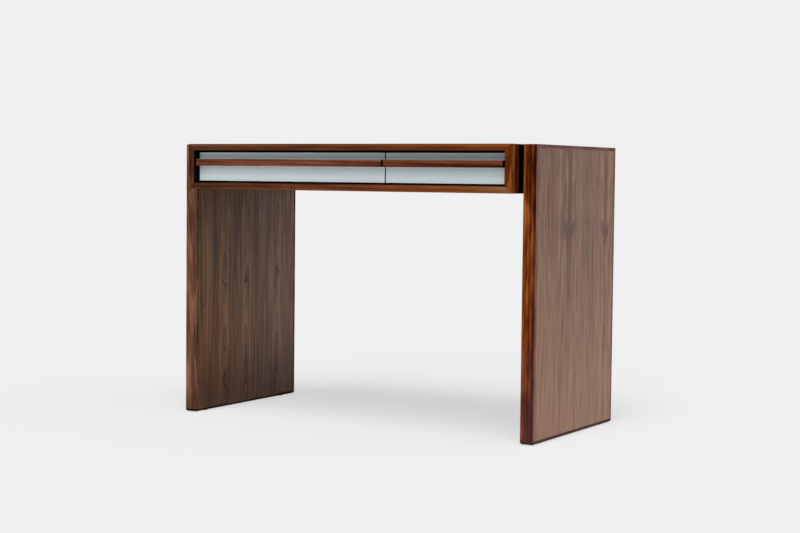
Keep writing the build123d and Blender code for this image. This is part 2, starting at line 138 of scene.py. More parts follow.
class Wire:
    """One value socket of a node tree, which Python's operators can work on."""

    def __init__(self, sheet: "NodeSheet", socket: bpy.types.NodeSocket) -> None:
        """Keeps the socket and the sheet it is on."""
        self.sheet = sheet
        self.socket = socket

    def __add__(self, other: "Operand") -> "Wire":
        """Adds."""
        return self.sheet.math("ADD", self, other)

    def __radd__(self, other: "Operand") -> "Wire":
        """Adds, from the right."""
        return self.sheet.math("ADD", other, self)

    def __sub__(self, other: "Operand") -> "Wire":
        """Subtracts."""
        return self.sheet.math("SUBTRACT", self, other)

    def __rsub__(self, other: "Operand") -> "Wire":
        """Subtracts, from the right."""
        return self.sheet.math("SUBTRACT", other, self)

    def __mul__(self, other: "Operand") -> "Wire":
        """Multiplies."""
        return self.sheet.math("MULTIPLY", self, other)

    def __rmul__(self, other: "Operand") -> "Wire":
        """Multiplies, from the right."""
        return self.sheet.math("MULTIPLY", other, self)

    def __truediv__(self, other: "Operand") -> "Wire":
        """Divides."""
        return self.sheet.math("DIVIDE", self, other)

    def __pow__(self, other: "Operand") -> "Wire":
        """Raises to a power."""
        return self.sheet.math("POWER", self, other)

    def above(self, other: "Operand") -> "Wire":
        """The larger of two values."""
        return self.sheet.math("MAXIMUM", self, other)

    def below(self, other: "Operand") -> "Wire":
        """The smaller of two values."""
        return self.sheet.math("MINIMUM", self, other)

    def whole(self) -> "Wire":
        """The whole part of the value."""
        return self.sheet.math("FLOOR", self)

    def part(self) -> "Wire":
        """What the value has beyond its whole part."""
        return self.sheet.math("FRACT", self)

    def root(self) -> "Wire":
        """The square root."""
        return self.sheet.math("SQRT", self)

    def size(self) -> "Wire":
        """The value without its sign."""
        return self.sheet.math("ABSOLUTE", self)

    def folded(self, width: float) -> "Wire":
        """The value folded back and forth over a width, as matched leaves are."""
        return self.sheet.math("PINGPONG", self, width)

    def eased(self, low: float, high: float) -> "Wire":
        """A smooth step from 0 at a low value to 1 at a high one.

        Args:
            low: Where the step starts.
            high: Where the step ends.

        Returns:
            The step.
        """
        node = self.sheet.add(
            "ShaderNodeMapRange",
            {"interpolation_type": "SMOOTHSTEP"},
            {"Value": self, "From Min": low, "From Max": high},
        )
        return Wire(self.sheet, node.outputs["Result"])


Operand = Union[Wire, float, int]
Place = Dict[Grain, Wire]


@dataclass(frozen=True)
class Texture:
    """How fine a noise is in each direction, how many finer layers it has and how strong those are."""

    scales: Tuple[float, float, float]
    detail: float = 2.0
    roughness: float = 0.5


class NodeSheet:
    """A node tree with short ways to add to it."""

    def __init__(self, tree: bpy.types.NodeTree) -> None:
        """Keeps the tree and empties it."""
        self.tree = tree
        tree.nodes.clear()

    def feed(self, socket: bpy.types.NodeSocket, value: Any) -> None:
        """Links or sets one input.

        Args:
            socket: The input.
            value: A wire, a socket or a plain value.
        """
        if isinstance(value, Wire):
            self.tree.links.new(value.socket, socket)
        elif isinstance(value, bpy.types.NodeSocket):
            self.tree.links.new(value, socket)
        else:
            socket.default_value = value

    def add(
        self,
        kind: str,
        settings: Optional[Dict[str, Any]] = None,
        inputs: Optional[Dict[Union[str, int], Any]] = None,
    ) -> bpy.types.Node:
        """Adds a node of any kind.

        Args:
            kind: The node's type.
            settings: What is set on the node before its inputs. "stops" sets a ramp.
            inputs: The values or links of its sockets, by name or by place.

        Returns:
            The node.
        """
        node = self.tree.nodes.new(kind)
        for name, value in (settings or {}).items():
            if name == "stops":
                self._set_stops(node.color_ramp, value)
            else:
                setattr(node, name, value)
        for key, value in (inputs or {}).items():
            self.feed(node.inputs[key], value)
        return node

    @staticmethod
    def _set_stops(ramp: bpy.types.ColorRamp, stops: Stops) -> None:
        """Writes a ramp's stops.

        Args:
            ramp: The ramp.
            stops: The places and colours of its stops.
        """
        while len(ramp.elements) < len(stops):
            ramp.elements.new(1.0)
        for element, (place, colour) in zip(ramp.elements, stops):
            element.position = place
            element.color = (*colour, 1.0)

    def math(self, operation: str, *values: Operand) -> Wire:
        """Adds a Math node.

        Args:
            operation: What it does.
            *values: Its inputs.

        Returns:
            The result.
        """
        node = self.add("ShaderNodeMath", {"operation": operation}, dict(enumerate(values)))
        return Wire(self, node.outputs[0])

    def vector(self, x: Operand, y: Operand, z: Operand) -> bpy.types.NodeSocket:
        """Joins three values into a vector."""
        return self.add("ShaderNodeCombineXYZ", None, {"X": x, "Y": y, "Z": z}).outputs[0]

    def split(self, vector: bpy.types.NodeSocket) -> Tuple[Wire, Wire, Wire]:
        """Takes a vector apart into its three values."""
        node = self.add("ShaderNodeSeparateXYZ", None, {0: vector})
        return tuple(Wire(self, output) for output in node.outputs)

    def noise(self, texture: Texture, *place: Wire) -> Wire:
        """Smooth noise at a place, centred on zero.

        Args:
            texture: How fine and how rough it is.
            *place: The place's three coordinates.

        Returns:
            The noise, from about -0.5 to 0.5.
        """
        scaled = self.vector(*(value * scale for value, scale in zip(place, texture.scales)))
        node = self.add(
            "ShaderNodeTexNoise",
            {"noise_dimensions": "3D"},
            {"Vector": scaled, "Scale": 1.0, "Detail": texture.detail, "Roughness": texture.roughness},
        )
        return Wire(self, node.outputs[0]) - HALF

    def chance(self, value: Operand) -> Wire:
        """A random number from 0 to 1 that is always the same for one value."""
        node = self.add("ShaderNodeTexWhiteNoise", {"noise_dimensions": "1D"}, {"W": value})
        return Wire(self, node.outputs["Value"])

    def ramp(self, value: Wire, stops: Stops) -> bpy.types.NodeSocket:
        """A colour picked from a ramp."""
        return self.add("ShaderNodeValToRGB", {"stops": stops}, {"Fac": value}).outputs[0]

    def mix(self, share: Operand, first: Any, second: Any, blend: str = "MIX") -> bpy.types.NodeSocket:
        """Mixes two colours.

        Args:
            share: How much of the second colour.
            first: A colour or its socket.
            second: A colour or its socket.
            blend: How they are mixed.

        Returns:
            The mixed colour.
        """
        node = self.add("ShaderNodeMix", {"data_type": "RGBA", "blend_type": blend}, {MIX_SHARE: share})
        for place, colour in ((MIX_FIRST, first), (MIX_SECOND, second)):
            plain = not isinstance(colour, bpy.types.NodeSocket)
            self.feed(node.inputs[place], (*colour, 1.0) if plain else colour)
        return node.outputs[MIX_RESULT]

    def tinted(self, colour: Any, tint: Any, share: Operand = 1.0) -> bpy.types.NodeSocket:
        """A colour multiplied by a tint, or by a share of it."""
        return self.mix(share, colour, tint, "MULTIPLY")


class Surface(NodeSheet):
    """The node tree of one material, around a Principled shader."""

    def __init__(self, name: str) -> None:
        """Makes the material and its shader.

        Args:
            name: What the material is called.
        """
        self.material = bpy.data.materials.new(name)
        self.material.use_nodes = True
        super().__init__(self.material.node_tree)
        self.shader = self.add("ShaderNodeBsdfPrincipled")
        self.output = self.add("ShaderNodeOutputMaterial")
        self.feed(self.output.inputs["Surface"], self.shader.outputs[0])

    def place(self) -> Place:
        """Where a point lies on the table, in metres, by direction."""
        return dict(zip(Grain, self.split(self.add("ShaderNodeTexCoord").outputs["Object"])))

    def arris(self, place: Place, box: Box, reach: float) -> Wire:
        """How near a point on a box's surface is to one of the box's edges.

        Args:
            place: The point's coordinates.
            box: The box's lowest and highest corner.
            reach: How far from an edge this fades out.

        Returns:
            1 on an edge, and 0 from the reach on.
        """
        first, second, third = (
            (value - low).below(high - value) for value, low, high in zip(place.values(), *box)
        )
        middle = first.below(second).above(first.above(second).below(third))
        return 1.0 - middle.eased(0.0, reach)

    def set(self, **inputs: Any) -> None:
        """Sets inputs of the shader, with spaces in their names written as underscores."""
        for name, value in inputs.items():
            self.feed(self.shader.inputs[name.replace("_", " ")], value)

    def bump(self, height: Wire, depth: float, strength: float) -> None:
        """Raises the surface a little.

        Args:
            height: The height, from 0 to 1.
            depth: What a height of 1 stands for, in metres.
            strength: How much of it shows.
        """
        node = self.add(
            "ShaderNodeBump", None, {"Strength": strength, "Distance": depth, "Height": height}
        )
        self.set(Normal=node.outputs[0])


# Finishes


@dataclass(frozen=True)
class Palette:
    """The colours of a timber, from its dark late wood to its palest."""

    late: Colour
    deep: Colour
    middle: Colour
    pale: Colour
    deep_at: float = 0.32
    middle_at: float = 0.62

    def stops(self) -> Stops:
        """The palette as the stops of a ramp."""
        inner = ((self.deep_at, self.deep), (self.middle_at, self.middle))
        return ((0.0, self.late), *inner, (1.0, self.pale))


VENEER_WALNUT = Palette(paint(58, 36, 25), paint(94, 63, 47), paint(124, 88, 68), paint(152, 114, 92))
# A darker copy of the veneer walnut, with more contrast: painted shade for the left leg, whose inner
# face lies in shade.
SHADED_FACE_WALNUT = Palette(paint(37, 24, 18), paint(82, 58, 46), paint(121, 90, 73), paint(152, 118, 100))
SOLID_WALNUT = Palette(paint(36, 10, 1), paint(78, 29, 4), paint(114, 54, 19), paint(148, 88, 46))
WARM_WALNUT = Palette(paint(54, 30, 18), paint(88, 54, 34), paint(116, 76, 51), paint(146, 105, 76))
GREY_WALNUT = Palette(paint(66, 40, 28), paint(98, 64, 48), paint(126, 86, 68), paint(150, 112, 92))
PULL_WALNUT = Palette(paint(58, 26, 15), paint(94, 50, 33), paint(122, 72, 53), paint(154, 106, 88))
RUSSET_WALNUT = Palette(paint(52, 20, 5), paint(90, 45, 24), paint(117, 66, 44), paint(148, 100, 80))
MAUVE_WALNUT = Palette(paint(84, 50, 48), paint(106, 68, 66), paint(124, 84, 82), paint(142, 102, 100))
DULL_WALNUT = Palette(paint(36, 18, 12), paint(76, 43, 27), paint(108, 67, 43), paint(140, 98, 70))
PALE_WALNUT = Palette(paint(96, 50, 20), paint(120, 68, 30), paint(140, 84, 42), paint(158, 104, 60))
# Painted shade: near-black for gaps, recesses, seams and the left leg's foot; a softer dark for the
# right leg's foot.
SHADE_BLACK = paint(7, 5, 5)
FOOT_SHADE_COLOUR = paint(62, 40, 40)
MAPLE = Palette(paint(186, 152, 112), paint(205, 174, 134), paint(217, 189, 150), paint(228, 204, 168))
BIRCH = Palette(paint(190, 160, 120), paint(212, 184, 145), paint(222, 197, 160), paint(232, 211, 178))
BEECH = Palette(paint(168, 124, 86), paint(188, 146, 106), paint(202, 162, 122), paint(214, 178, 140))


@dataclass(frozen=True)
class Step:
    """A place where a finish changes along one direction of the table."""

    axis: Grain
    start: float
    stop: float
    mirrored: bool = False

    def wire(self, place: Place) -> Wire:
        """How far past the step a point is, from 0 to 1."""
        value = place[self.axis].size() if self.mirrored else place[self.axis]
        return value.eased(self.start, self.stop)


Zone = Tuple[Step, ...]


def covered(zones: Sequence[Zone], place: Place) -> Wire:
    """Where any of several zones lies, each of which is where all its steps are passed.

    Args:
        zones: The zones.
        place: The point's coordinates.

    Returns:
        1 inside a zone and 0 outside them all.
    """
    total = None
    for zone in zones:
        share = zone[0].wire(place)
        for step in zone[1:]:
            share = share * step.wire(place)
        total = share if total is None else total.above(share)
    return total


@dataclass(frozen=True)
class Patch:
    """A small dark or pale patch in the figure, such as a knot or a flame."""

    across: float
    along: float
    radius: float
    gain: float
    stretch: float = 2.4
    slant: float = 0.0

    def wire(self, across: Wire, along: Wire) -> Wire:
        """How near a point is to the middle of the patch.

        Args:
            across: Where the point lies across the fibres.
            along: Where it lies along them.

        Returns:
            1 in the middle and 0 from the rim on.
        """
        beside = across - self.across
        aside = beside / self.radius
        ahead = (along - self.along - beside * self.slant) / (self.radius * self.stretch)
        return 1.0 - (aside * aside + ahead * ahead).root().eased(0.0, 1.0)


class Finish:
    """What a piece is made of. Each kind wires its material in its own way."""

    def material(self, name: str) -> bpy.types.Material:
        """Makes the finish.

        Args:
            name: What the material is called.

        Returns:
            The material.
        """
        sheet = Surface(name)
        self.wire(sheet, sheet.place())
        return sheet.material

    def wire(self, sheet: Surface, place: Place) -> None:
        """Wires the finish."""
        raise NotImplementedError


def late_wood(years: Wire, power: float, end: float) -> Wire:
    """How much dark late wood there is at a point of a year ring.

    Args:
        years: How many rings lie between the heart and the point.
        power: How sharply the late wood sets in.
        end: Where in the ring it starts to break off.

    Returns:
        0 in the early wood and near 1 in the late wood.
    """
    year = years.part()
    return (year ** power) * (1.0 - year.eased(end, 1.0))


LATE_MEAN = 0.25
LINE_MEAN = 0.15
FIBRE_RELIEF = 0.5
PORE_RELIEF = 0.6
LATE_RELIEF = 0.25
PORE_FADE = (0.10, 0.22)

SOLID_SWAY = Texture((9.0, 9.0, 2.2))
SOLID_FLUTTER = Texture((60.0, 60.0, 7.0))
SOLID_STREAKS = Texture((190.0, 190.0, 3.0), 4.0, 0.6)
SOLID_FIBRES = Texture((1300.0, 1300.0, 22.0))
SOLID_PORES = Texture((1700.0, 1700.0, 60.0), 1.0)


@dataclass(frozen=True)
class SolidTimber(Finish):
    """Sawn timber, with year rings about a heart that lies off the piece."""

    palette: Palette
    grain: Grain
    seed: float = 0.0
    seed_shares: Tuple[float, float, float] = (0.731, 0.417, 1.93)
    heart: Tuple[float, float] = (0.11, 0.07)
    ring: float = 0.0085
    wave: float = 0.020
    depth_wave: float = 0.012
    ripple: float = 0.0026
    late_power: float = 2.2
    late_end: float = 0.90
    ring_contrast: float = 0.34
    year_contrast: float = 0.20
    streak_contrast: float = 0.55
    flame_contrast: float = 0.42
    flame_across: float = 62.0
    flame_along: float = 9.0
    flame_detail: float = 3.0
    flame_roughness: float = 0.55
    flame_wave: float = 0.02
    flame_fade: Fade = (-0.14, 0.16)
    fibre_contrast: float = 0.16
    pore_contrast: float = 0.12
    lean: float = 0.0
    run_out: float = 0.0
    slope: float = 0.0
    slope_axis: Grain = Grain.WIDTH
    slope_middle: float = 0.0
    twist: float = 0.0
    run: float = 0.0
    foot_shade: float = 0.0
    foot_reach: float = 0.16
    lightness: float = 0.5
    roughness: float = 0.46
    fibre_roughness: float = 0.10
    pore_roughness: float = 0.12
    specular: float = 0.03
    pore_depth: float = 0.00018
    relief: float = 0.5
    # Edges made lighter: partly rubbed wear, partly a painted edge highlight.
    rubbed: Optional[Box] = None
    rub_reach: float = 0.0026
    rub_share: float = 0.7
    rub_ripple: float = 1.6
    rub_and_highlight_gain: float = 0.20
    rub_gloss: float = 0.08
    patches: Tuple[Patch, ...] = ()
    patch_ripple: float = 0.012
    patch_wave: float = 0.05
    # Painted shade: zones that are coloured dark where shade falls, and that dark colour.
    shade_zones: Tuple[Zone, ...] = ()
    stain_and_shade: Colour = SHADE_BLACK
    veneered: Tuple[Zone, ...] = ()
    veneer: Optional[Palette] = None
    veneer_gain: float = 0.0
    veneer_flat: bool = False

    def wire(self, sheet: Surface, place: Place) -> None:
        """Wires rings, streaks, flames, fibres and pores, the wear and painted highlight along the
        edges, and painted shade.

        Args:
            sheet: The material's node tree.
            place: Where a point lies.
        """
        x, y, z = place.values()
        axes = {Grain.WIDTH: (y, z, x), Grain.DEPTH: (z, x, y), Grain.HEIGHT: (x, y, z)}
        plain_across, plain_depth, plain_along = axes[self.grain]
        shifts = [self.seed * share for share in self.seed_shares]
        tilt = (place[self.slope_axis] - self.slope_middle) * (self.slope + plain_along * self.twist)
        tilt = tilt + plain_along * self.run
        tilt = tilt - (1.0 - z.eased(0.0, self.foot_reach)) * self.foot_shade
        across = plain_across + plain_along * self.lean + shifts[0]
        depth = plain_depth + plain_along * self.run_out + shifts[1]
        along = plain_along + shifts[2]
        point = (across, depth, along)

        sway = sheet.noise(SOLID_SWAY, *point)
        flutter = sheet.noise(SOLID_FLUTTER, *point)
        side = across - (self.heart[0] + shifts[0]) + sway * self.wave + flutter * self.ripple
        back = depth - (self.heart[1] + shifts[1]) + sway * self.depth_wave
        years = (side * side + back * back).root() / self.ring
        late = late_wood(years, self.late_power, self.late_end)
        tint = sheet.chance(years.whole())

        streaks = sheet.noise(SOLID_STREAKS, *point)
        scales = (self.flame_across, self.flame_across, self.flame_along)
        blaze = Texture(scales, self.flame_detail, self.flame_roughness)
        flame = sheet.noise(blaze, across + sway * self.flame_wave, depth, along)
        flame = flame.eased(*self.flame_fade)
        fibres = sheet.noise(SOLID_FIBRES, *point)
        pores = sheet.noise(SOLID_PORES, *point).eased(*PORE_FADE)

        base = self.lightness - self.ring_contrast * (late - LATE_MEAN)
        base = base + (tint - HALF) * self.year_contrast
        base = base + streaks * self.streak_contrast + (flame - HALF) * self.flame_contrast
        base = base + fibres * self.fibre_contrast - pores * self.pore_contrast
        tone = base + tilt
        for patch in self.patches:
            near = patch.wire(
                plain_across + flutter * self.patch_ripple, plain_along + sway * self.patch_wave
            )
            tone = tone + near * patch.gain
        worn = 0.0
        # Lighter along the edges: rubbed wear with a painted highlight.
        if self.rubbed:
            wear = (self.rub_share + flutter * self.rub_ripple).above(0.0)
            worn = sheet.arris(place, self.rubbed, self.rub_reach) * wear
            base = base + worn * self.rub_and_highlight_gain
            tone = tone + worn * self.rub_and_highlight_gain
        colour = sheet.ramp(tone, self.palette.stops())
        if self.veneered:
            face = (base if self.veneer_flat else tone) + self.veneer_gain
            other = sheet.ramp(face, self.veneer.stops())
            colour = sheet.mix(covered(self.veneered, place), colour, other)
        # Painted shade: dark colour in the shaded zones.
        if self.shade_zones:
            colour = sheet.mix(covered(self.shade_zones, place), colour, self.stain_and_shade)
        dullness = self.roughness + fibres * self.fibre_roughness + pores * self.pore_roughness
        sheet.set(
            Base_Color=colour,
            Roughness=dullness - worn * self.rub_gloss,
            Specular_IOR_Level=self.specular,
        )
        height = HALF + fibres * FIBRE_RELIEF - pores * PORE_RELIEF - late * LATE_RELIEF
        sheet.bump(height, self.pore_depth, self.relief)


@dataclass(frozen=True)
class Streak:
    """A dark or pale line along a leaf of veneer, over part of its height."""

    across: float
    width: float
    low: float
    high: float
    gain: float
    fade: float = 0.05

    def wire(self, across: Wire, height: Wire) -> Wire:
        """How much lighter or darker the streak makes a point.

        Args:
            across: Where the point lies across the leaf.
            height: How high it lies.

        Returns:
            What the streak adds to the point's tone.
        """
        near = 1.0 - (across - self.across).size().eased(0.0, self.width)
        foot = height.eased(self.low - self.fade, self.low + self.fade)
        head = height.eased(self.high + self.fade, self.high - self.fade)
        return near * (foot * head) * self.gain


LEAF_SWAY = Texture((8.0, 1.0, 2.4))
LEAF_FLUTTER = Texture((45.0, 1.0, 8.0))
LEAF_LINES = Texture((170.0, 1.0, 2.2), 2.0, 0.6)
LEAF_BANDS = Texture((30.0, 1.0, 2.0))
LEAF_HUES = Texture((38.0, 1.0, 1.6))
LEAF_FIBRES = Texture((1100.0, 1.0, 16.0))
LEAF_PORES = Texture((1500.0, 1.0, 45.0), 1.0)


@dataclass(frozen=True)
class MatchedVeneer(Finish):
    """Upright leaves of veneer, each turned over against the last so that the figure mirrors."""

    palette: Palette
    grain: Grain
    spread: Grain
    leaf: float
    seam: float
    heart: float
    apex: float
    flare_above: float
    flare_below: float
    ring: float
    seed: float
    line_shift: float = 3.0
    hue_shift: float = 7.0
    leaf_drift: float = 0.35
    lightness: float = 0.5
    wave: float = 0.022
    ripple: float = 0.003
    heart_width: float = 0.004
    heart_sway: float = 0.0
    heart_fade: Fade = (0.012, 0.050)
    heart_contrast: float = 0.30
    late_power: float = 2.4
    late_end: float = 0.88
    ring_contrast: float = 0.62
    ring_share: float = 0.55
    year_ripple: float = 0.35
    year_contrast: float = 0.24
    plain_above: Optional[Fade] = None
    plain_share: float = 0.75
    knots: Tuple[Patch, ...] = ()
    knot_scatter: float = 0.0
    knot_tear: float = 1.1
    knot_tear_across: float = 0.6
    knot_wave: float = 0.02
    knot_power: float = 1.6
    knot_bend: float = 0.010
    streaks: Tuple[Streak, ...] = ()
    streak_contrast: float = 1.0
    streak_across: float = 85.0
    streak_along: float = 5.0
    streak_detail: float = 4.0
    streak_roughness: float = 0.66
    streak_wave: float = 0.018
    line_contrast: float = 0.30
    line_wave: float = 0.012
    line_ripple: float = 0.0025
    line_fade: Fade = (0.08, 0.22)
    band_contrast: float = 0.55
    band_wave: float = 0.02
    fibre_contrast: float = 0.18
    pore_contrast: float = 0.14
    # Painted light and shade: the foot lighter from light the floor throws up, the foot and head darker
    # in shade; the face also made lighter towards the back.
    foot_bounce_light: float = 0.0
    foot_bounce_light_fade: Fade = (0.05, 0.70)
    foot_shade: float = 0.0
    foot_shade_fade: Fade = (0.0, 0.28)
    foot_calm: float = 0.0
    foot_calm_fade: Fade = (0.10, 0.45)
    foot_tint: Optional[Colour] = None
    foot_tint_fade: Fade = (0.0, 0.40)
    head_shade: float = 0.0
    head_shade_fade: Fade = (0.40, 0.70)
    back_gain: float = 0.0
    back_fade: Fade = (-0.10, 0.26)
    back_foot: float = 0.6
    back_rise: Fade = (0.30, 0.60)
    front_tint: Colour = (1.0, 1.0, 1.0)
    front_fade: Fade = (-0.22, 0.16)
    hue_fade: Fade = (-0.22, 0.22)
    olive: Colour = (0.98, 1.05, 0.90)
    mauve: Colour = (1.03, 0.95, 1.02)
    roughness: float = 0.44
    fibre_roughness: float = 0.10
    pore_roughness: float = 0.10
    specular: float = 0.35
    pore_depth: float = 0.00012
    relief: float = 0.4
    # Painted shade: zones coloured near-black where shade falls.
    shade_zones: Tuple[Zone, ...] = ()

    def wire(self, sheet: Surface, place: Place) -> None:
        """Wires the leaves with their rings, knots, streaks, lines, fibres and pores, and the painted
        light and shade set on them.

        Args:
            sheet: The material's node tree.
            place: Where a point lies.
        """
        beside, along = place[self.spread], place[self.grain]
        turned = beside - self.seam
        across = turned.folded(self.leaf)
        number = (turned / self.leaf).whole()
        leaf = number * self.leaf_drift + self.seed
        point = (across, leaf, along)

        sway = sheet.noise(LEAF_SWAY, *point)
        flutter = sheet.noise(LEAF_FLUTTER, *point)
        shifted = along + (sheet.chance(number + self.seed) - HALF) * self.knot_scatter
        side = across - self.heart + sway * self.wave + flutter * self.ripple
        dark_knots = 0.0
        for knot in self.knots:
            torn = flutter * (knot.radius * self.knot_tear)
            beneath = across + sway * self.knot_wave + torn * self.knot_tear_across
            near = knot.wire(beneath, shifted + torn)
            side = side + near * self.knot_bend
            dark_knots = (near ** self.knot_power) * -knot.gain + dark_knots
        above = (along - self.apex).above(0.0) * self.flare_above
        under = (self.apex - along).above(0.0) * self.flare_below
        ahead = above + under + self.heart_width + sway * self.heart_sway
        years = (side * side + ahead * ahead).root() / self.ring + flutter * self.year_ripple
        late = late_wood(years, self.late_power, self.late_end)
        tint = sheet.chance(years.whole() + self.seed)

        scales = (self.streak_across, 1.0, self.streak_along)
        hatching = Texture(scales, self.streak_detail, self.streak_roughness)
        hatched = sheet.noise(hatching, across + sway * self.streak_wave, leaf, along)
        wander = across + sway * self.line_wave + flutter * self.line_ripple
        lines = sheet.noise(LEAF_LINES, wander, leaf + self.line_shift, along).eased(*self.line_fade)
        bands = sheet.noise(LEAF_BANDS, across + sway * self.band_wave, leaf, along)
        hue = sheet.noise(LEAF_HUES, across, leaf + self.hue_shift, along).eased(*self.hue_fade)
        fibres = sheet.noise(LEAF_FIBRES, *point)
        pores = sheet.noise(LEAF_PORES, *point).eased(*PORE_FADE)
        near_heart = 1.0 - side.size().eased(*self.heart_fade)

        tone = bands * self.band_contrast + hatched * self.streak_contrast
        tone = tone + (tint - HALF) * self.year_contrast - (lines - LINE_MEAN) * self.line_contrast
        calm = 1.0 - (1.0 - along.eased(*self.foot_calm_fade)) * self.foot_calm
        tone = tone * calm + self.lightness - dark_knots
        for streak in self.streaks:
            tone = tone + streak.wire(wander, along)
        # Painted light and shade at the foot and head, and lighter towards the back.
        rising = self.back_foot + along.eased(*self.back_rise) * (1.0 - self.back_foot)
        tone = tone + (1.0 - along.eased(*self.foot_bounce_light_fade)) * self.foot_bounce_light
        tone = tone + beside.eased(*self.back_fade) * rising * self.back_gain
        tone = tone - (1.0 - along.eased(*self.foot_shade_fade)) * self.foot_shade
        tone = tone - along.eased(*self.head_shade_fade) * self.head_shade
        figure = self.ring_contrast * (self.ring_share + near_heart * self.heart_contrast)
        if self.plain_above:
            figure = figure * (1.0 - along.eased(*self.plain_above) * self.plain_share)
        tone = tone - (late - LATE_MEAN) * figure * calm
        tone = tone + fibres * self.fibre_contrast - pores * self.pore_contrast
        colour = sheet.ramp(tone, self.palette.stops())
        colour = sheet.tinted(colour, sheet.mix(hue, self.mauve, self.olive))
        front = 1.0 - beside.eased(*self.front_fade)
        colour = sheet.tinted(colour, self.front_tint, front)
        if self.foot_tint:
            foot = front * (1.0 - along.eased(*self.foot_tint_fade))
            colour = sheet.tinted(colour, self.foot_tint, foot)
        # Painted shade: near-black in the shaded zones.
        if self.shade_zones:
            colour = sheet.mix(covered(self.shade_zones, place), colour, SHADE_BLACK)
        sheet.set(
            Base_Color=colour,
            Roughness=self.roughness + fibres * self.fibre_roughness + pores * self.pore_roughness,
            Specular_IOR_Level=self.specular,
        )
        height = HALF + fibres * FIBRE_RELIEF - pores * PORE_RELIEF
        sheet.bump(height, self.pore_depth, self.relief)


@dataclass(frozen=True)
class SatinAluminium(Finish):
    """Sheet aluminium, fine-brushed along its length and anodised, with painted shade and highlights by
    height, and rubbed edges with a painted highlight.
    """

    plate: Box
    tint: Colour = (0.74, 0.82, 0.83)
    worn: Colour = (0.79, 0.87, 0.875)
    metallic: float = 0.24
    brush: Texture = Texture((14.0, 900.0, 2600.0), 3.0, 0.6)
    clouds: Texture = Texture((5.0, 5.0, 14.0))
    brush_contrast: float = 0.7
    cloud_contrast: float = 0.6
    # Painted shade and highlights by height, foot to head: shadow below the pull and, darker, under the
    # case's top lipping; highlights right below and right above the pull.
    painted_light_by_height: Tuple[float, ...] = (1.03, 1.06, 0.97, 0.96, 1.36, 0.95, 0.47, 0.84)
    # Painted shade: a colder tint where the painted shade falls, from below the pull upwards.
    shade_tint: Colour = (0.955, 1.0, 1.01)
    shade_tint_fade: Fade = (0.25, 0.45)
    foot_drift: float = -0.10
    head_drift: float = -0.42
    head_fade: Fade = (0.50, 0.75)
    # Edges made lighter: partly rubbed wear, partly a painted edge highlight.
    rub_reach: float = 0.0040
    rub_share: float = 0.9
    rub_cloud: float = 0.8
    rub_and_highlight_gain: float = 0.16
    rub_gloss: float = 0.08
    roughness: float = 0.50
    brush_roughness: float = 0.10
    cloud_roughness: float = 0.06
    brush_depth: float = 0.00004
    relief: float = 0.35

    def wire(self, sheet: Surface, place: Place) -> None:
        """Wires the brushing, the painted shade and highlights from foot to head, the rubbed edges with
        their painted highlight, and the painted black shade on the plate's end faces.

        Args:
            sheet: The material's node tree.
            place: Where a point lies.
        """
        x, _, z = place.values()
        foot, head = (corner.z for corner in self.plate)
        brushed = sheet.noise(self.brush, *place.values())
        cloud = sheet.noise(self.clouds, *place.values())
        share = HALF + brushed * self.brush_contrast + cloud * self.cloud_contrast
        colour = sheet.mix(share, self.tint, self.worn)
        # The painted shade and highlights set by height.
        level = (z - foot) / (head - foot)
        steps = len(self.painted_light_by_height) - 1
        tones = [(index / steps, (light, light, light)) for index, light in enumerate(self.painted_light_by_height)]
        colour = sheet.tinted(colour, sheet.ramp(level, tones))
        wear = self.rub_share + cloud * self.rub_cloud
        rubbed = sheet.arris(place, self.plate, self.rub_reach) * wear
        drift = self.foot_drift + level.eased(*self.head_fade) * (self.head_drift - self.foot_drift)
        slide = (1.0 + x * drift) * (1.0 + rubbed * self.rub_and_highlight_gain)
        colour = sheet.tinted(colour, sheet.vector(slide, slide, slide))
        # Colder tint in the painted shade.
        colour = sheet.tinted(colour, self.shade_tint, level.eased(*self.shade_tint_fade))
        # Painted shade: black on the end faces at the seam.
        colour = sheet.mix(covered(PLATE_END_SHADE, place), colour, SHADE_BLACK)
        dullness = self.roughness + brushed * self.brush_roughness + cloud * self.cloud_roughness
        sheet.set(
            Base_Color=colour,
            Metallic=self.metallic,
            Roughness=dullness - rubbed * self.rub_gloss,
        )
        sheet.bump(HALF + brushed, self.brush_depth, self.relief)


@dataclass(frozen=True)
class PlatedSteel(Finish):
    """Rolled or turned steel with a plated finish."""

    tint: Colour
    dull: Colour
    roughness: float = 0.34
    rolls: Texture = Texture((700.0, 9.0, 700.0), 3.0, 0.6)
    blooms: Texture = Texture((60.0, 60.0, 60.0), 3.0)
    roll_contrast: float = 0.4
    bloom_contrast: float = 0.9
    roll_roughness: float = 0.10
    bloom_roughness: float = 0.16
    roll_relief: float = 0.5
    roll_depth: float = 0.00003
    relief: float = 0.3

    def wire(self, sheet: Surface, place: Place) -> None:
        """Wires the rolling marks and the bloom of the plating.

        Args:
            sheet: The material's node tree.
            place: Where a point lies.
        """
        rolled = sheet.noise(self.rolls, *place.values())
        bloom = sheet.noise(self.blooms, *place.values())
        share = HALF + bloom * self.bloom_contrast + rolled * self.roll_contrast
        sheet.set(
            Base_Color=sheet.mix(share, self.tint, self.dull),
            Metallic=1.0,
            Roughness=self.roughness + bloom * self.bloom_roughness + rolled * self.roll_roughness,
        )
        sheet.bump(HALF + rolled * self.roll_relief, self.roll_depth, self.relief)


COARSE_FIBRES = Texture((420.0, 18.0, 420.0), 3.0)
FINE_FIBRES = Texture((900.0, 18.0, 900.0), 3.0)


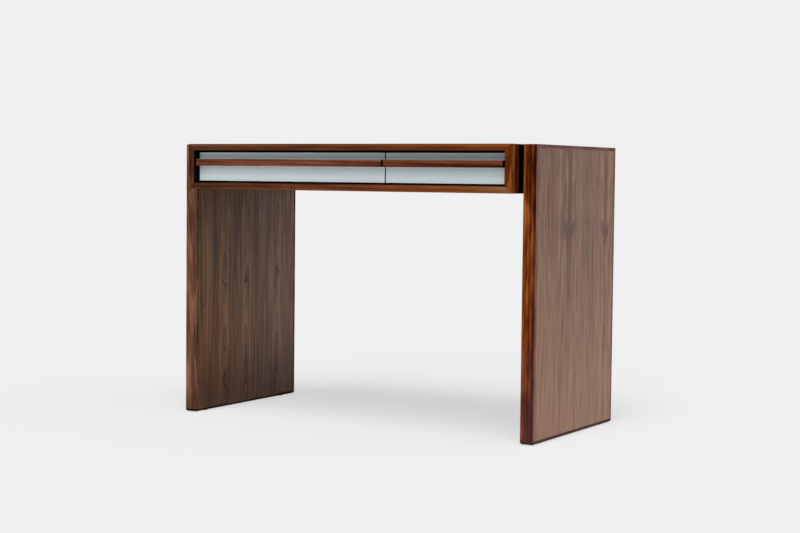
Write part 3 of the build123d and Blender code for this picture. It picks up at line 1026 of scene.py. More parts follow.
@dataclass(frozen=True)
class DarkCoat(Finish):
    """A matt dark coat or moulding, with the texture of what is under it."""

    tint: Colour
    rubbed: Colour
    roughness: float = 0.72
    specular: float = 0.2
    fibres: Texture = COARSE_FIBRES
    speckles: Texture = Texture((900.0, 900.0, 900.0))
    speckle_share: float = 0.6
    rub_fade: Fade = (0.05, 0.45)
    fibre_roughness: float = 0.15
    fibre_relief: float = 0.4
    speckle_relief: float = 0.3
    depth: float = 0.00012
    relief: float = 0.4

    def wire(self, sheet: Surface, place: Place) -> None:
        """Wires the fibres, the speckle and where the coat is rubbed.

        Args:
            sheet: The material's node tree.
            place: Where a point lies.
        """
        fibres = sheet.noise(self.fibres, *place.values())
        speckle = sheet.noise(self.speckles, *place.values())
        share = (fibres + speckle * self.speckle_share).eased(*self.rub_fade)
        sheet.set(
            Base_Color=sheet.mix(share, self.tint, self.rubbed),
            Roughness=self.roughness + fibres * self.fibre_roughness,
            Specular_IOR_Level=self.specular,
        )
        height = HALF + fibres * self.fibre_relief + speckle * self.speckle_relief
        sheet.bump(height, self.depth, self.relief)


ZINC = PlatedSteel((0.52, 0.54, 0.56), (0.36, 0.38, 0.40))
BRASS = PlatedSteel((0.72, 0.54, 0.26), (0.52, 0.38, 0.18), 0.38)
BLACK_STAIN = DarkCoat(paint(12, 11, 11), paint(26, 24, 23))
BLACK_NYLON = DarkCoat(paint(16, 16, 17), paint(34, 34, 35), 0.55, 0.35, FINE_FIBRES)


def dress(node: str, material: bpy.types.Material) -> None:
    """Gives a node of the frame its finish.

    Args:
        node: The node's name.
        material: The finish.
    """
    slots = NODES[node].data.materials
    slots.clear()
    slots.append(material)
    LOG.info("%s is dressed in %s", node, material.name)


# Fasteners


class Drive(Enum):
    """The recess in a fastener's head."""

    CROSS = "cross"
    HEX = "hex"


FASTENER_SIZES = (
    "Head radius",
    "Head height",
    "Shank radius",
    "Length",
    "Dome",
    "Drive width",
    "Drive span",
    "Drive depth",
)
WELD = 1e-6
LEVEL_DIGITS = 5
HEAD_SHARE = 0.98
SKIRT_HEIGHT = 0.55
CROWN_HEIGHT = 0.30
CROWN_TAPER = 0.90
CAP_HEIGHT = 0.15
HEX_SIDES = 6


@dataclass
class FastenerSet:
    """A set of alike screws or bolts that stands for one node of the frame."""

    node: str
    along: Grain
    drive: Drive
    finish: bpy.types.Material
    segments: int = 28
    dome: float = 0.72
    drive_width: float = 0.22
    drive_span: float = 1.05
    drive_depth: float = 0.6
    places: List[Tuple[Vector, Vector]] = field(default_factory=list)
    head_radius: float = 0.0
    head_height: float = 0.0
    shank_radius: float = 0.0
    length: float = 0.0

    def measure(self) -> None:
        """Reads where each fastener of the node lies, which way it points and how large it is."""
        mesh = bmesh.new()
        mesh.from_mesh(NODES[self.node].data)
        bmesh.ops.remove_doubles(mesh, verts=mesh.verts, dist=WELD)
        axis = list(Grain).index(self.along)
        others = [index for index in range(3) if index != axis]
        for island in self._islands(mesh):
            low = Vector([min(point[i] for point in island) for i in range(3)])
            high = Vector([max(point[i] for point in island) for i in range(3)])
            middle = (low + high) / 2
            reach = {}
            for point in island:
                level = round(point[axis], LEVEL_DIGITS)
                radius = max(abs(point[i] - middle[i]) for i in others)
                reach[level] = max(reach.get(level, 0.0), radius)
            levels = sorted(reach)
            wide = max(reach.values())
            head_low = reach[levels[0]] > reach[levels[-1]]
            heads = [level for level in levels if reach[level] > HEAD_SHARE * wide]
            bearing = max(heads) if head_low else min(heads)
            tip = levels[-1] if head_low else levels[0]
            crown = levels[0] if head_low else levels[-1]
            self.head_radius = wide
            self.head_height = abs(crown - bearing)
            self.shank_radius = reach[tip]
            self.length = abs(tip - bearing)
            place = middle.copy()
            place[axis] = bearing
            aim = Vector((0.0, 0.0, 0.0))
            aim[axis] = -1.0 if head_low else 1.0
            self.places.append((place, aim))
        mesh.free()

    @staticmethod
    def _islands(mesh: bmesh.types.BMesh) -> List[List[Vector]]:
        """Takes a mesh apart into its loose parts.

        Args:
            mesh: The mesh.

        Returns:
            The points of each part.
        """
        found = set()
        islands = []
        for first in mesh.verts:
            if first in found:
                continue
            found.add(first)
            stack = [first]
            points = []
            while stack:
                vert = stack.pop()
                points.append(vert.co.copy())
                for edge in vert.link_edges:
                    other = edge.other_vert(vert)
                    if other not in found:
                        found.add(other)
                        stack.append(other)
            islands.append(points)
        return islands

    def build(self) -> bpy.types.Object:
        """Makes the set as one mesh and puts it in the node's place.

        Returns:
            The new piece.
        """
        self.measure()
        seed = bpy.data.meshes.new(f"{self.node}_places")
        seed.from_pydata([place for place, _ in self.places], [], [])
        aims = seed.attributes.new("aim", "FLOAT_VECTOR", "POINT")
        for item, (_, aim) in zip(aims.data, self.places):
            item.vector = aim
        piece = bpy.data.objects.new(f"{self.node}_set", seed)
        bpy.context.scene.collection.objects.link(piece)
        modifier = piece.modifiers.new("fasteners", "NODES")
        tree = fastener_tree(self.drive)
        modifier.node_group = tree
        sizes = {
            "Head radius": self.head_radius,
            "Head height": self.head_height,
            "Shank radius": self.shank_radius,
            "Length": self.length,
            "Dome": self.dome,
            "Drive width": self.head_radius * self.drive_width,
            "Drive span": self.head_radius * self.drive_span,
            "Drive depth": self.head_height * self.drive_depth,
            "Segments": self.segments,
            "Finish": self.finish,
        }
        for item in tree.interface.items_tree:
            if item.item_type == "SOCKET" and item.name in sizes:
                modifier[item.identifier] = sizes[item.name]
        made = piece.evaluated_get(bpy.context.evaluated_depsgraph_get())
        mesh = bpy.data.meshes.new_from_object(made)
        piece.modifiers.remove(modifier)
        piece.data = mesh
        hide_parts(self.node)
        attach(piece, BODY_OF_NODE[self.node])
        LOG.info("%s has %d fasteners", piece.name, len(self.places))
        return piece


def fastener_tree(drive: Drive) -> bpy.types.NodeTree:
    """Builds the tree that sets a fastener at every point, aimed along the point's own direction.

    Args:
        drive: The recess in the head.

    Returns:
        The tree.
    """
    name = f"fasteners_{drive.value}"
    if name in bpy.data.node_groups:
        return bpy.data.node_groups[name]
    tree = bpy.data.node_groups.new(name, "GeometryNodeTree")
    tree.interface.new_socket("Geometry", in_out="INPUT", socket_type="NodeSocketGeometry")
    for label in FASTENER_SIZES:
        tree.interface.new_socket(label, in_out="INPUT", socket_type="NodeSocketFloat")
    tree.interface.new_socket("Segments", in_out="INPUT", socket_type="NodeSocketInt")
    tree.interface.new_socket("Finish", in_out="INPUT", socket_type="NodeSocketMaterial")
    tree.interface.new_socket("Geometry", in_out="OUTPUT", socket_type="NodeSocketGeometry")
    sheet = NodeSheet(tree)
    given = sheet.add("NodeGroupInput").outputs
    size = {socket.name: Wire(sheet, socket) for socket in given if socket.type == "VALUE"}

    def lifted(part: bpy.types.NodeSocket, height: Operand) -> bpy.types.NodeSocket:
        """A part moved up to a height."""
        move = {"Geometry": part, "Translation": sheet.vector(0.0, 0.0, height)}
        return sheet.add("GeometryNodeTransform", None, move).outputs[0]

    def rise(
        part: bpy.types.NodeSocket, chosen: Any, by: Operand, scale: Operand
    ) -> Tuple[bpy.types.NodeSocket, bpy.types.NodeSocket]:
        """Draws the chosen face of a part up by a height, and sizes its new rim.

        Args:
            part: The part.
            chosen: Which face is drawn up.
            by: The height.
            scale: How large the new face is beside the old one.

        Returns:
            The new part, and which face is now on top.
        """
        upward = sheet.vector(0.0, 0.0, 1.0)
        drawn = sheet.add(
            "GeometryNodeExtrudeMesh",
            {"mode": "FACES"},
            {"Mesh": part, "Selection": chosen, "Offset": upward, "Offset Scale": by},
        )
        sized = sheet.add(
            "GeometryNodeScaleElements",
            {"domain": "FACE"},
            {"Geometry": drawn.outputs[0], "Selection": drawn.outputs[1], "Scale": scale},
        )
        return sized.outputs[0], drawn.outputs[1]

    disc = sheet.add(
        "GeometryNodeMeshCircle",
        {"fill_type": "NGON"},
        {"Vertices": given["Segments"], "Radius": size["Shank radius"]},
    )
    foot = lifted(disc.outputs[0], 0.0 - size["Length"])
    whole, top = rise(foot, True, size["Length"], 1.0)
    whole, top = rise(whole, top, 0.0, size["Head radius"] / size["Shank radius"])
    head = ((SKIRT_HEIGHT, 1.0), (CROWN_HEIGHT, CROWN_TAPER), (CAP_HEIGHT, size["Dome"]))
    for share, scale in head:
        whole, top = rise(whole, top, size["Head height"] * share, scale)
    under = sheet.add("GeometryNodeFlipFaces", None, {0: foot})
    joined = sheet.add("GeometryNodeJoinGeometry")
    for part in (whole, under.outputs[0]):
        tree.links.new(part, joined.inputs[0])
    closed = sheet.add("GeometryNodeMergeByDistance", None, {"Geometry": joined.outputs[0]})

    span, width, depth = size["Drive span"], size["Drive width"], size["Drive depth"] * 2.0
    if drive is Drive.CROSS:
        bars = (sheet.vector(span, width, depth), sheet.vector(width, span, depth))
        cutters = [sheet.add("GeometryNodeMeshCube", None, {"Size": bar}) for bar in bars]
    else:
        prism = {"Vertices": HEX_SIDES, "Radius": span * HALF, "Depth": depth}
        cutters = [sheet.add("GeometryNodeMeshCylinder", None, prism)]
    cut = sheet.add(
        "GeometryNodeMeshBoolean", {"operation": "DIFFERENCE"}, {"Mesh 1": closed.outputs[0]}
    )
    for cutter in cutters:
        tree.links.new(lifted(cutter.outputs[0], size["Head height"]), cut.inputs["Mesh 2"])

    aim = sheet.add("GeometryNodeInputNamedAttribute", {"data_type": "FLOAT_VECTOR"}, {"Name": "aim"})
    turn = sheet.add("FunctionNodeAlignRotationToVector", {"axis": "Z"}, {"Vector": aim.outputs[0]})
    points = sheet.add("GeometryNodeMeshToPoints", None, {"Mesh": given["Geometry"]})
    spread = sheet.add(
        "GeometryNodeInstanceOnPoints",
        None,
        {"Points": points.outputs[0], "Instance": cut.outputs[0], "Rotation": turn.outputs[0]},
    )
    real = sheet.add("GeometryNodeRealizeInstances", None, {"Geometry": spread.outputs[0]})
    painted = sheet.add(
        "GeometryNodeSetMaterial", None, {"Geometry": real.outputs[0], "Material": given["Finish"]}
    )
    output = sheet.add("NodeGroupOutput")
    tree.links.new(painted.outputs[0], output.inputs[0])
    return tree


# Sub-assemblies


FACE_FADE = (0.0018, 0.0002)
GAP_SHADE_FADE = (0.010, 0.007)
SEAM_FADE = (0.020, 0.017)
DIVIDER_SHADE_FADE = (0.020, 0.015)
PLATE_EDGE = 0.0009

# Painted shade: a dark band along each leg's bottom chamfer, where it meets the floor.
FOOT_SHADE_BAND = ((Step(Grain.HEIGHT, 0.0090, 0.0075),),)
SOFT_FOOT_SHADE = ((Step(Grain.HEIGHT, 0.0165, 0.0050),),)
LEG_DULLING = (Step(Grain.HEIGHT, 0.40, -0.60),)
LEG_FACES = (
    (Step(Grain.WIDTH, *(LEG_OUTSIDE - depth for depth in FACE_FADE), mirrored=True),),
    (Step(Grain.WIDTH, *(LEG_INSIDE + depth for depth in FACE_FADE), mirrored=True),),
    LEG_DULLING,
)
OUTSIDE = Step(Grain.WIDTH, CASE_SIDE - RIM, CASE_SIDE, mirrored=True)
# Painted shade: black on the case's sides inside the gap to the legs.
GAP_SHADE = ((Step(Grain.DEPTH, *(LEG_FRONT - depth for depth in GAP_SHADE_FADE)), OUTSIDE),)
SEAM = ((Step(Grain.DEPTH, *(CASE_FRONT + depth for depth in SEAM_FADE)), OUTSIDE),)
# Painted shade: black inside the drawer opening, reaching just over the rim of its edges.
CHEEK_SHADE = Step(Grain.WIDTH, MOUTH_SIDE + SHADE_REACH + RIM, MOUTH_SIDE + RIM, mirrored=True)
MOUTH_SHADE = {
    "top": ((Step(Grain.HEIGHT, MOUTH_TOP + SHADE_REACH, MOUTH_TOP + RIM),),),
    "bottom": ((Step(Grain.HEIGHT, MOUTH_FOOT - SHADE_REACH, MOUTH_FOOT - RIM),),),
    "left": ((CHEEK_SHADE,),),
    "right": ((CHEEK_SHADE,),),
}
DULL_LEFT = (Step(Grain.WIDTH, 0.6, -0.7),)
DULL_RIGHT = (Step(Grain.WIDTH, 0.30, 0.60),)
# Painted shade: black on the divider's front, where it shows in the seam between the drawer fronts.
DIVIDER_SHADE = ((Step(Grain.DEPTH, *(DIVIDER_FRONT + depth for depth in DIVIDER_SHADE_FADE)),),)
# Painted shade: black on the drawer fronts' end faces at their seam.
PLATE_END_SHADE = (
    (
        Step(Grain.WIDTH, FRONT_SEAM[0] - PLATE_EDGE, FRONT_SEAM[0] - RIM),
        Step(Grain.WIDTH, FRONT_SEAM[1] + PLATE_EDGE, FRONT_SEAM[1] + RIM),
    ),
)


@dataclass(frozen=True)
class SlabLeg:
    """A full-height slab: a veneered panel in a mitred frame of solid lippings."""

    side: str
    veneer: MatchedVeneer
    lipping: SolidTimber
    seed_step: float = 1.7

    def dress(self) -> None:
        """Gives the panel its veneer, and each lipping timber that runs along it."""
        name = f"{self.side}_leg"
        dress(f"{name}_panel", self.veneer.material(f"{name}_veneer"))
        runs = {
            "front": Grain.HEIGHT,
            "rear": Grain.HEIGHT,
            "top": Grain.DEPTH,
            "bottom": Grain.DEPTH,
        }
        slab = hull(*(f"{name}_{edge}_lipping" for edge in runs))
        for index, (edge, grain) in enumerate(runs.items()):
            seed = self.lipping.seed + index * self.seed_step
            timber = replace(self.lipping, grain=grain, seed=seed, rubbed=slab)
            if edge != "front":
                timber = replace(timber, patches=())
            if grain is Grain.DEPTH:
                timber = replace(timber, slope=0.0, lean=0.0)
            finish = timber.material(f"{self.side}_{edge}_lipping_walnut")
            dress(f"{name}_{edge}_lipping", finish)


LEFT_LEG = SlabLeg(
    "left",
    MatchedVeneer(
        SHADED_FACE_WALNUT,
        Grain.HEIGHT,
        Grain.DEPTH,
        leaf=0.136,
        seam=-0.0375,
        heart=0.053,
        apex=0.02,
        flare_above=0.075,
        flare_below=0.05,
        ring=0.0070,
        seed=3.0,
        heart_contrast=0.10,
        heart_sway=0.030,
        streak_contrast=1.15,
        line_contrast=0.32,
        lightness=0.44,
        back_gain=0.17,
        plain_above=(0.34, 0.52),
        knot_scatter=0.030,
        foot_tint=(1.50, 1.16, 0.98),
        foot_calm=0.40,
        specular=0.18,
        foot_shade=0.27,
        head_shade=0.02,
        front_tint=(0.95, 0.85, 0.59),
        olive=(1.00, 1.04, 0.91),
        mauve=(1.00, 0.97, 0.97),
        streaks=(
            Streak(0.100, 0.004, 0.30, 0.70, -0.30),
            Streak(0.112, 0.003, 0.30, 0.72, -0.30),
            Streak(0.124, 0.004, 0.34, 0.72, -0.25),
            Streak(0.075, 0.006, 0.10, 0.45, 0.18),
            Streak(0.040, 0.005, 0.15, 0.60, 0.15),
        ),
        knots=(
            Patch(0.053, 0.380, 0.024, -0.40, 0.45, 0.6),
            Patch(0.050, 0.183, 0.012, -0.26, 0.9, 0.6),
            Patch(0.055, 0.076, 0.016, -0.28, 0.8, 0.6),
            Patch(0.118, 0.300, 0.012, -0.26, 1.1, 1.0),
        ),
    ),
    SolidTimber(
        GREY_WALNUT,
        Grain.HEIGHT,
        seed=1.0,
        lightness=0.46,
        slope=-6.0,
        slope_middle=-0.54,
        lean=0.09,
        foot_shade=0.16,
        # Painted shade along the foot.
        shade_zones=FOOT_SHADE_BAND,
        veneered=LEG_FACES,
        veneer=VENEER_WALNUT,
        veneer_gain=-0.20,
        veneer_flat=True,
        patches=(
            Patch(-0.551, 0.130, 0.014, 0.20, 8.0),
            Patch(-0.535, 0.320, 0.012, 0.22, 6.0),
            Patch(-0.541, 0.590, 0.024, -0.20, 6.0),
        ),
    ),
)
RIGHT_LEG = SlabLeg(
    "right",
    MatchedVeneer(
        VENEER_WALNUT,
        Grain.HEIGHT,
        Grain.DEPTH,
        leaf=0.120,
        seam=-0.0235,
        heart=0.026,
        apex=0.54,
        flare_above=0.05,
        flare_below=0.004,
        ring=0.0060,
        seed=8.0,
        foot_bounce_light=0.31,
        front_tint=(1.02, 0.975, 0.965),
        specular=0.31,
        streak_contrast=1.35,
        streak_along=9.0,
        band_contrast=0.60,
        streaks=(
            Streak(0.004, 0.004, 0.48, 0.74, -0.40),
            Streak(0.023, 0.005, 0.55, 0.76, 0.35),
            Streak(0.034, 0.004, 0.52, 0.72, -0.25),
            Streak(0.060, 0.006, 0.05, 0.35, 0.15),
            Streak(0.008, 0.005, 0.20, 0.45, -0.20),
        ),
        knots=(
            Patch(0.020, 0.556, 0.036, -0.36, 1.0, 0.8),
            Patch(0.004, 0.517, 0.020, -0.20, 1.8, 0.8),
            Patch(0.036, 0.577, 0.006, -0.34, 1.0),
            Patch(0.092, 0.571, 0.005, -0.30, 1.2),
            Patch(0.104, 0.575, 0.006, -0.38, 1.0),
            Patch(0.114, 0.569, 0.005, -0.34, 1.2),
        ),
    ),
    SolidTimber(
        SOLID_WALNUT,
        Grain.HEIGHT,
        seed=9.0,
        slope=-12.0,
        slope_middle=0.54,
        foot_shade=0.10,
        # Painted shade along the foot, in a softer dark.
        shade_zones=SOFT_FOOT_SHADE,
        stain_and_shade=FOOT_SHADE_COLOUR,
        veneered=LEG_FACES,
        veneer=MAUVE_WALNUT,
        veneer_flat=True,
        patches=(
            Patch(0.540, 0.730, 0.026, -0.42, 3.0),
            Patch(0.557, 0.600, 0.013, -0.55, 8.0),
            Patch(0.529, 0.580, 0.015, 0.50, 7.0),
            Patch(0.541, 0.500, 0.013, 0.36, 5.0),
            Patch(0.550, 0.430, 0.014, 0.40, 6.0),
            Patch(0.536, 0.380, 0.012, 0.26, 7.0),
            Patch(0.545, 0.120, 0.020, -0.16, 6.0),
            Patch(0.556, 0.170, 0.013, -0.22, 11.0),
        ),
    ),
)


@dataclass(frozen=True)
class CaseEdge:
    """One side of the case: its board, and the timber of the lipping on the board's front edge."""

    name: str
    board: str
    lipping: SolidTimber


CASE_EDGES = (
    CaseEdge(
        "top",
        "top",
        SolidTimber(
            SOLID_WALNUT,
            Grain.WIDTH,
            lightness=0.47,
            run=0.25,
            slope=14.0,
            slope_axis=Grain.HEIGHT,
            slope_middle=0.769,
            flame_contrast=0.22,
            flame_along=5.0,
            patches=(
                Patch(-0.2795, -0.276, 0.030, 0.09, 5.0),
                Patch(-0.2795, 0.02, 0.030, -0.07, 6.0),
            ),
            veneered=(DULL_LEFT,),
            veneer=DULL_WALNUT,
        ),
    ),
    CaseEdge(
        "bottom",
        "bottom",
        SolidTimber(
            SOLID_WALNUT,
            Grain.WIDTH,
            lightness=0.57,
            run=0.62,
            slope=6.0,
            slope_axis=Grain.HEIGHT,
            slope_middle=0.658,
            flame_contrast=0.22,
            flame_along=5.0,
            veneered=(DULL_LEFT, DULL_RIGHT),
            veneer=DULL_WALNUT,
        ),
    ),
    CaseEdge("left", "left_side", SolidTimber(DULL_WALNUT, Grain.HEIGHT, lightness=0.24, lean=0.10)),
    CaseEdge("right", "right_side", SolidTimber(SOLID_WALNUT, Grain.HEIGHT, lightness=0.61, lean=-0.22)),
)


@dataclass(frozen=True)
class DrawerCase:
    """The mitred case, its divider and back, and the dark spacers that hold it off the legs."""

    seed: float = 4.0
    seed_step: float = 2.3
    lipping_shift: float = 0.9
    back_shift: float = 11.0
    divider_shift: float = 13.0
    side_lightness: float = 0.40

    @staticmethod
    def long_veneer(spread: Grain, seed: float, shade_zones: Tuple[Zone, ...]) -> MatchedVeneer:
        """Veneer whose leaves run along the case.

        Args:
            spread: The direction that the leaves lie side by side in.
            seed: What sets its figure apart from others.
            shade_zones: Where shade is painted black.

        Returns:
            The finish.
        """
        across = spread is Grain.DEPTH
        return MatchedVeneer(
            WARM_WALNUT,
            Grain.WIDTH,
            spread,
            leaf=0.186 if across else 0.20,
            seam=-0.093 if across else 0.62,
            heart=0.078,
            apex=0.12,
            flare_above=0.045,
            flare_below=0.055,
            ring=0.0085,
            seed=seed,
            shade_zones=shade_zones,
        )

    def board(self, edge: CaseEdge, seed: float) -> Finish:
        """The finish of one board: veneer along the top and bottom, solid timber at the sides.

        Args:
            edge: The side of the case.
            seed: What sets its figure apart from others.

        Returns:
            The finish.
        """
        # Top and bottom boards: painted black shade inside the drawer opening; side boards also in the
        # gap to the legs.
        if edge.lipping.grain is Grain.WIDTH:
            return self.long_veneer(Grain.DEPTH, seed, MOUTH_SHADE[edge.name])
        return SolidTimber(
            SOLID_WALNUT,
            edge.lipping.grain,
            seed=seed,
            lightness=self.side_lightness,
            shade_zones=MOUTH_SHADE[edge.name] + GAP_SHADE,
            veneered=SEAM,
            veneer=PALE_WALNUT,
        )

    def dress(self) -> None:
        """Gives every board and lipping its timber."""
        shell = hull(*(f"case_{edge.board}" for edge in CASE_EDGES), "case_top_lipping")
        for index, edge in enumerate(CASE_EDGES):
            seed = self.seed + index * self.seed_step
            board = self.board(edge, seed)
            lipping = replace(edge.lipping, seed=seed + self.lipping_shift, rubbed=shell)
            # Painted black shade inside the drawer opening.
            lipping = replace(lipping, shade_zones=MOUTH_SHADE[edge.name])
            dress(f"case_{edge.board}", board.material(f"case_{edge.name}_walnut"))
            dress(f"case_{edge.name}_lipping", lipping.material(f"case_{edge.name}_lipping_walnut"))
        back = self.long_veneer(Grain.HEIGHT, self.seed + self.back_shift, ())
        dress("case_back", back.material("case_back_walnut"))
        # Painted shade: its front is black where it shows in the seam.
        divider = SolidTimber(
            SOLID_WALNUT, Grain.DEPTH, seed=self.seed + self.divider_shift, shade_zones=DIVIDER_SHADE
        )
        dress("drawer_divider", divider.material("divider_walnut"))
        stain_and_shade = BLACK_STAIN.material("spacer_black")
        for side in SIDES:
            dress(f"{side}_spacer", stain_and_shade)
        peg = SolidTimber(BEECH, Grain.HEIGHT, seed=2.0)
        dress("divider_dowels", peg.material("dowel_beech"))
        tongue = SolidTimber(BEECH, Grain.DEPTH, seed=3.0)
        dress("corner_splines", tongue.material("spline_beech"))


@dataclass(frozen=True)
class DrawerUnit:
    """A drawer: metal front, pull rail, finger-jointed box and telescopic slides."""

    side: str
    seed: float
    timber: Palette = PULL_WALNUT
    twist: float = 60.0
    flames: Tuple[Patch, ...] = ()
    side_shift: float = 1.0
    end_shift: float = 2.0
    bottom_shift: float = 3.0

    def dress(self, steel: bpy.types.Material) -> None:
        """Gives the drawer's pieces their finishes.

        Args:
            steel: The finish of the slides.
        """
        name = f"{self.side}_drawer"
        metal = SatinAluminium(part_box(f"{name}_front"))
        dress(f"{name}_front", metal.material(f"{name}_brushed_aluminium"))
        low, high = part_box(f"{name}_pull")
        # Painted shade: the pull is black at each end face, in the narrow gaps beside it.
        end_shade = (
            (Step(Grain.WIDTH, low.x + SHADE_REACH, low.x + RIM),),
            (Step(Grain.WIDTH, high.x - SHADE_REACH, high.x - RIM),),
        )
        pull = SolidTimber(
            self.timber,
            Grain.WIDTH,
            seed=self.seed,
            lean=0.02,
            slope=14.0,
            slope_axis=Grain.HEIGHT,
            slope_middle=(low.z + high.z) / 2,
            run=-0.24,
            run_out=0.030,
            flame_contrast=0.24,
            flame_along=4.0,
            streak_contrast=0.80,
            twist=self.twist,
            lightness=0.43,
            rubbed=(low, high),
            patches=self.flames,
            shade_zones=end_shade,
        )
        dress(f"{name}_pull", pull.material(f"{name}_pull_walnut"))
        calm = {
            "specular": 0.4,
            "flame_contrast": 0.14,
            "ring_contrast": 0.20,
            "streak_contrast": 0.40,
            "rubbed": hull(f"{name}_left_side", f"{name}_right_side"),
        }
        lengthways = SolidTimber(MAPLE, Grain.DEPTH, seed=self.seed + self.side_shift, **calm)
        crossways = SolidTimber(MAPLE, Grain.WIDTH, seed=self.seed + self.end_shift, **calm)
        side_maple = lengthways.material(f"{name}_side_maple")
        end_maple = crossways.material(f"{name}_end_maple")
        for side in SIDES:
            dress(f"{name}_{side}_side", side_maple)
            for rail in ("case", "middle", "drawer"):
                dress(f"{name}_{side}_{rail}_rail", steel)
        for end in ("front", "back"):
            dress(f"{name}_box_{end}", end_maple)
        ply = SolidTimber(BIRCH, Grain.WIDTH, seed=self.seed + self.bottom_shift, ring=0.03, **calm)
        dress(f"{name}_bottom", ply.material(f"{name}_bottom_birch"))


LEFT_DRAWER = DrawerUnit("left", 21.0, flames=(Patch(-0.2785, -0.44, 0.020, -0.17, 6.0),))
RIGHT_DRAWER = DrawerUnit("right", 27.0, RUSSET_WALNUT, 36.0)


# Studio


WHITE = (1.0, 1.0, 1.0, 1.0)


@dataclass(frozen=True)
class SoftSun:
    """A far, broad lamp: its bearing is right of the table's front, and its height above the floor."""

    name: str
    bearing: float
    height: float
    spread: float
    energy: float

    def build(self) -> None:
        """Adds the lamp."""
        data = bpy.data.lights.new(self.name, "SUN")
        data.energy = self.energy
        data.angle = math.radians(self.spread)
        lamp = bpy.data.objects.new(self.name, data)
        bpy.context.scene.collection.objects.link(lamp)
        bearing, height = math.radians(self.bearing), math.radians(self.height)
        level = Vector((math.sin(bearing), -math.cos(bearing), 0.0)) * math.cos(height)
        source = level + Vector((0.0, 0.0, math.sin(height)))
        lamp.rotation_mode = "QUATERNION"
        lamp.rotation_quaternion = (-source).to_track_quat("-Z", "Y")


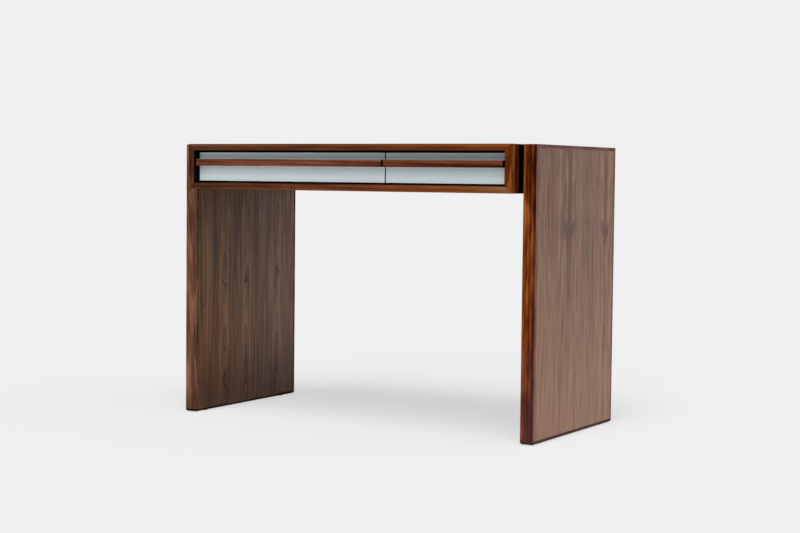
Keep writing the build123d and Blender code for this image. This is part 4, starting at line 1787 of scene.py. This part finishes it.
@dataclass
class Studio:
    """The camera, the light and the pale floor."""

    camera_place: Vector = field(default_factory=lambda: Vector((2.3802, -4.0349, 0.6890)))
    camera_yaw: float = 30.276
    camera_pitch: float = 3.128
    camera_roll: float = 0.595
    lens: float = 74.207
    sensor: float = 36.0
    backdrop: Colour = paint(239, 239, 239)
    floor_albedo: float = 0.795
    floor_bounce: float = 0.60
    floor_reach: float = 300.0
    floor_glow: float = 0.60
    ambient: float = 0.07
    back_light: float = 0.30
    back_fade: Fade = (-0.70, 0.10)
    high_dim: float = 0.75
    high_fade: Fade = (0.2, 0.7)
    top_light: float = 0.08
    top_fade: Fade = (0.2, 1.0)
    side_light: float = 0.66
    side_fade: Fade = (0.15, 0.8)
    room_light: float = 0.04
    key: SoftSun = SoftSun("key", bearing=16.0, height=62.0, spread=40.0, energy=2.36)
    fill: SoftSun = SoftSun("fill", bearing=13.0, height=25.0, spread=32.0, energy=0.74)

    def build(self) -> None:
        """Sets up the whole studio."""
        bpy.context.scene.view_settings.view_transform = "Standard"
        self._camera()
        self._floor()
        self._world()
        self.key.build()
        self.fill.build()

    def _camera(self) -> None:
        """Makes the camera at the photograph's viewing angle."""
        turns = (self.camera_yaw, self.camera_pitch, self.camera_roll)
        yaw, pitch, roll = (math.radians(turn) for turn in turns)
        ahead = Vector((-math.sin(yaw), math.cos(yaw), 0.0)) * math.cos(pitch)
        ahead = ahead - Vector((0.0, 0.0, math.sin(pitch)))
        right = Vector((math.cos(yaw), math.sin(yaw), 0.0))
        up = right.cross(ahead)
        level_right = math.cos(roll) * right + math.sin(roll) * up
        level_up = -math.sin(roll) * right + math.cos(roll) * up
        data = bpy.data.cameras.new("camera")
        data.lens = self.lens
        data.sensor_width = self.sensor
        data.clip_end = 2.0 * self.floor_reach
        camera = bpy.data.objects.new("camera", data)
        bpy.context.scene.collection.objects.link(camera)
        turn = Matrix((level_right, level_up, -ahead)).transposed()
        camera.matrix_world = Matrix.Translation(self.camera_place) @ turn.to_4x4()
        bpy.context.scene.camera = camera

    def _floor(self) -> None:
        """Lays the pale floor."""
        mesh = bpy.data.meshes.new("floor")
        signs = ((-1, -1), (1, -1), (1, 1), (-1, 1))
        corners = [(x * self.floor_reach, y * self.floor_reach, 0.0) for x, y in signs]
        mesh.from_pydata(corners, [], [range(len(corners))])
        floor = bpy.data.objects.new("floor", mesh)
        bpy.context.scene.collection.objects.link(floor)
        sheet = Surface("floor_paper")
        rays = sheet.add("ShaderNodeLightPath").outputs
        seen = Wire(sheet, rays["Is Camera Ray"])
        soaked = Wire(sheet, rays["Is Diffuse Ray"])
        pale, dim = ((level, level, level) for level in (self.floor_albedo, self.floor_bounce))
        sheet.set(Base_Color=sheet.mix(soaked, pale, dim), Roughness=1.0, Specular_IOR_Level=0.0)
        glow = sheet.add("ShaderNodeEmission", None, {"Color": (*self.backdrop, 1.0), "Strength": 1.0})
        both = sheet.add(
            "ShaderNodeMixShader",
            None,
            {0: seen * self.floor_glow, 1: sheet.shader.outputs[0], 2: glow.outputs[0]},
        )
        sheet.feed(sheet.output.inputs["Surface"], both.outputs[0])
        mesh.materials.append(sheet.material)

    def _world(self) -> None:
        """Lights the set from all round, less from the room behind the camera."""
        world = bpy.data.worlds.new("studio")
        world.use_nodes = True
        bpy.context.scene.world = world
        sheet = NodeSheet(world.node_tree)
        x, y, z = sheet.split(sheet.add("ShaderNodeTexCoord").outputs["Generated"])
        back = y.eased(*self.back_fade)
        room = self.room_light + (1.0 - self.room_light) * back
        low = 1.0 - self.high_dim * z.eased(*self.high_fade)
        level = self.ambient + self.back_light * back * low + self.top_light * z.eased(*self.top_fade)
        level = level + self.side_light * x.eased(*self.side_fade)
        rays = sheet.add("ShaderNodeLightPath").outputs
        kinds = ("Is Camera Ray", "Is Glossy Ray", "Is Transmission Ray")
        camera, glossy, through = (Wire(sheet, rays[kind]) for kind in kinds)
        shown = camera.above(glossy).above(through)
        lit = sheet.add("ShaderNodeBackground", None, {"Color": WHITE, "Strength": level})
        backdrop = sheet.add(
            "ShaderNodeBackground",
            None,
            {"Color": (*self.backdrop, 1.0), "Strength": camera + (1.0 - camera) * room},
        )
        both = {0: shown, 1: lit.outputs[0], 2: backdrop.outputs[0]}
        mixed = sheet.add("ShaderNodeMixShader", None, both)
        output = sheet.add("ShaderNodeOutputWorld")
        sheet.feed(output.inputs["Surface"], mixed.outputs[0])


def main() -> None:
    """Dresses the table, piece by piece, and sets up the studio."""
    logging.basicConfig(level=logging.INFO, format="%(name)s: %(message)s")
    for leg in (LEFT_LEG, RIGHT_LEG):
        leg.dress()
    DrawerCase().dress()
    steel = ZINC.material("plated_zinc")
    for drawer in (LEFT_DRAWER, RIGHT_DRAWER):
        drawer.dress(steel)
    dress("leg_inserts", BRASS.material("turned_brass"))
    dress("floor_glides", BLACK_NYLON.material("moulded_nylon"))
    screws = {"back_screws": Grain.DEPTH, "case_rail_screws": Grain.WIDTH}
    for side in SIDES:
        screws[f"{side}_drawer_pull_screws"] = Grain.DEPTH
        screws[f"{side}_drawer_rail_screws"] = Grain.WIDTH
    for node, axis in screws.items():
        FastenerSet(node, axis, Drive.CROSS, steel).build()
    FastenerSet("leg_bolts", Grain.WIDTH, Drive.HEX, steel, drive_span=0.8).build()
    Studio().build()


if __name__ == "__main__":
    main()
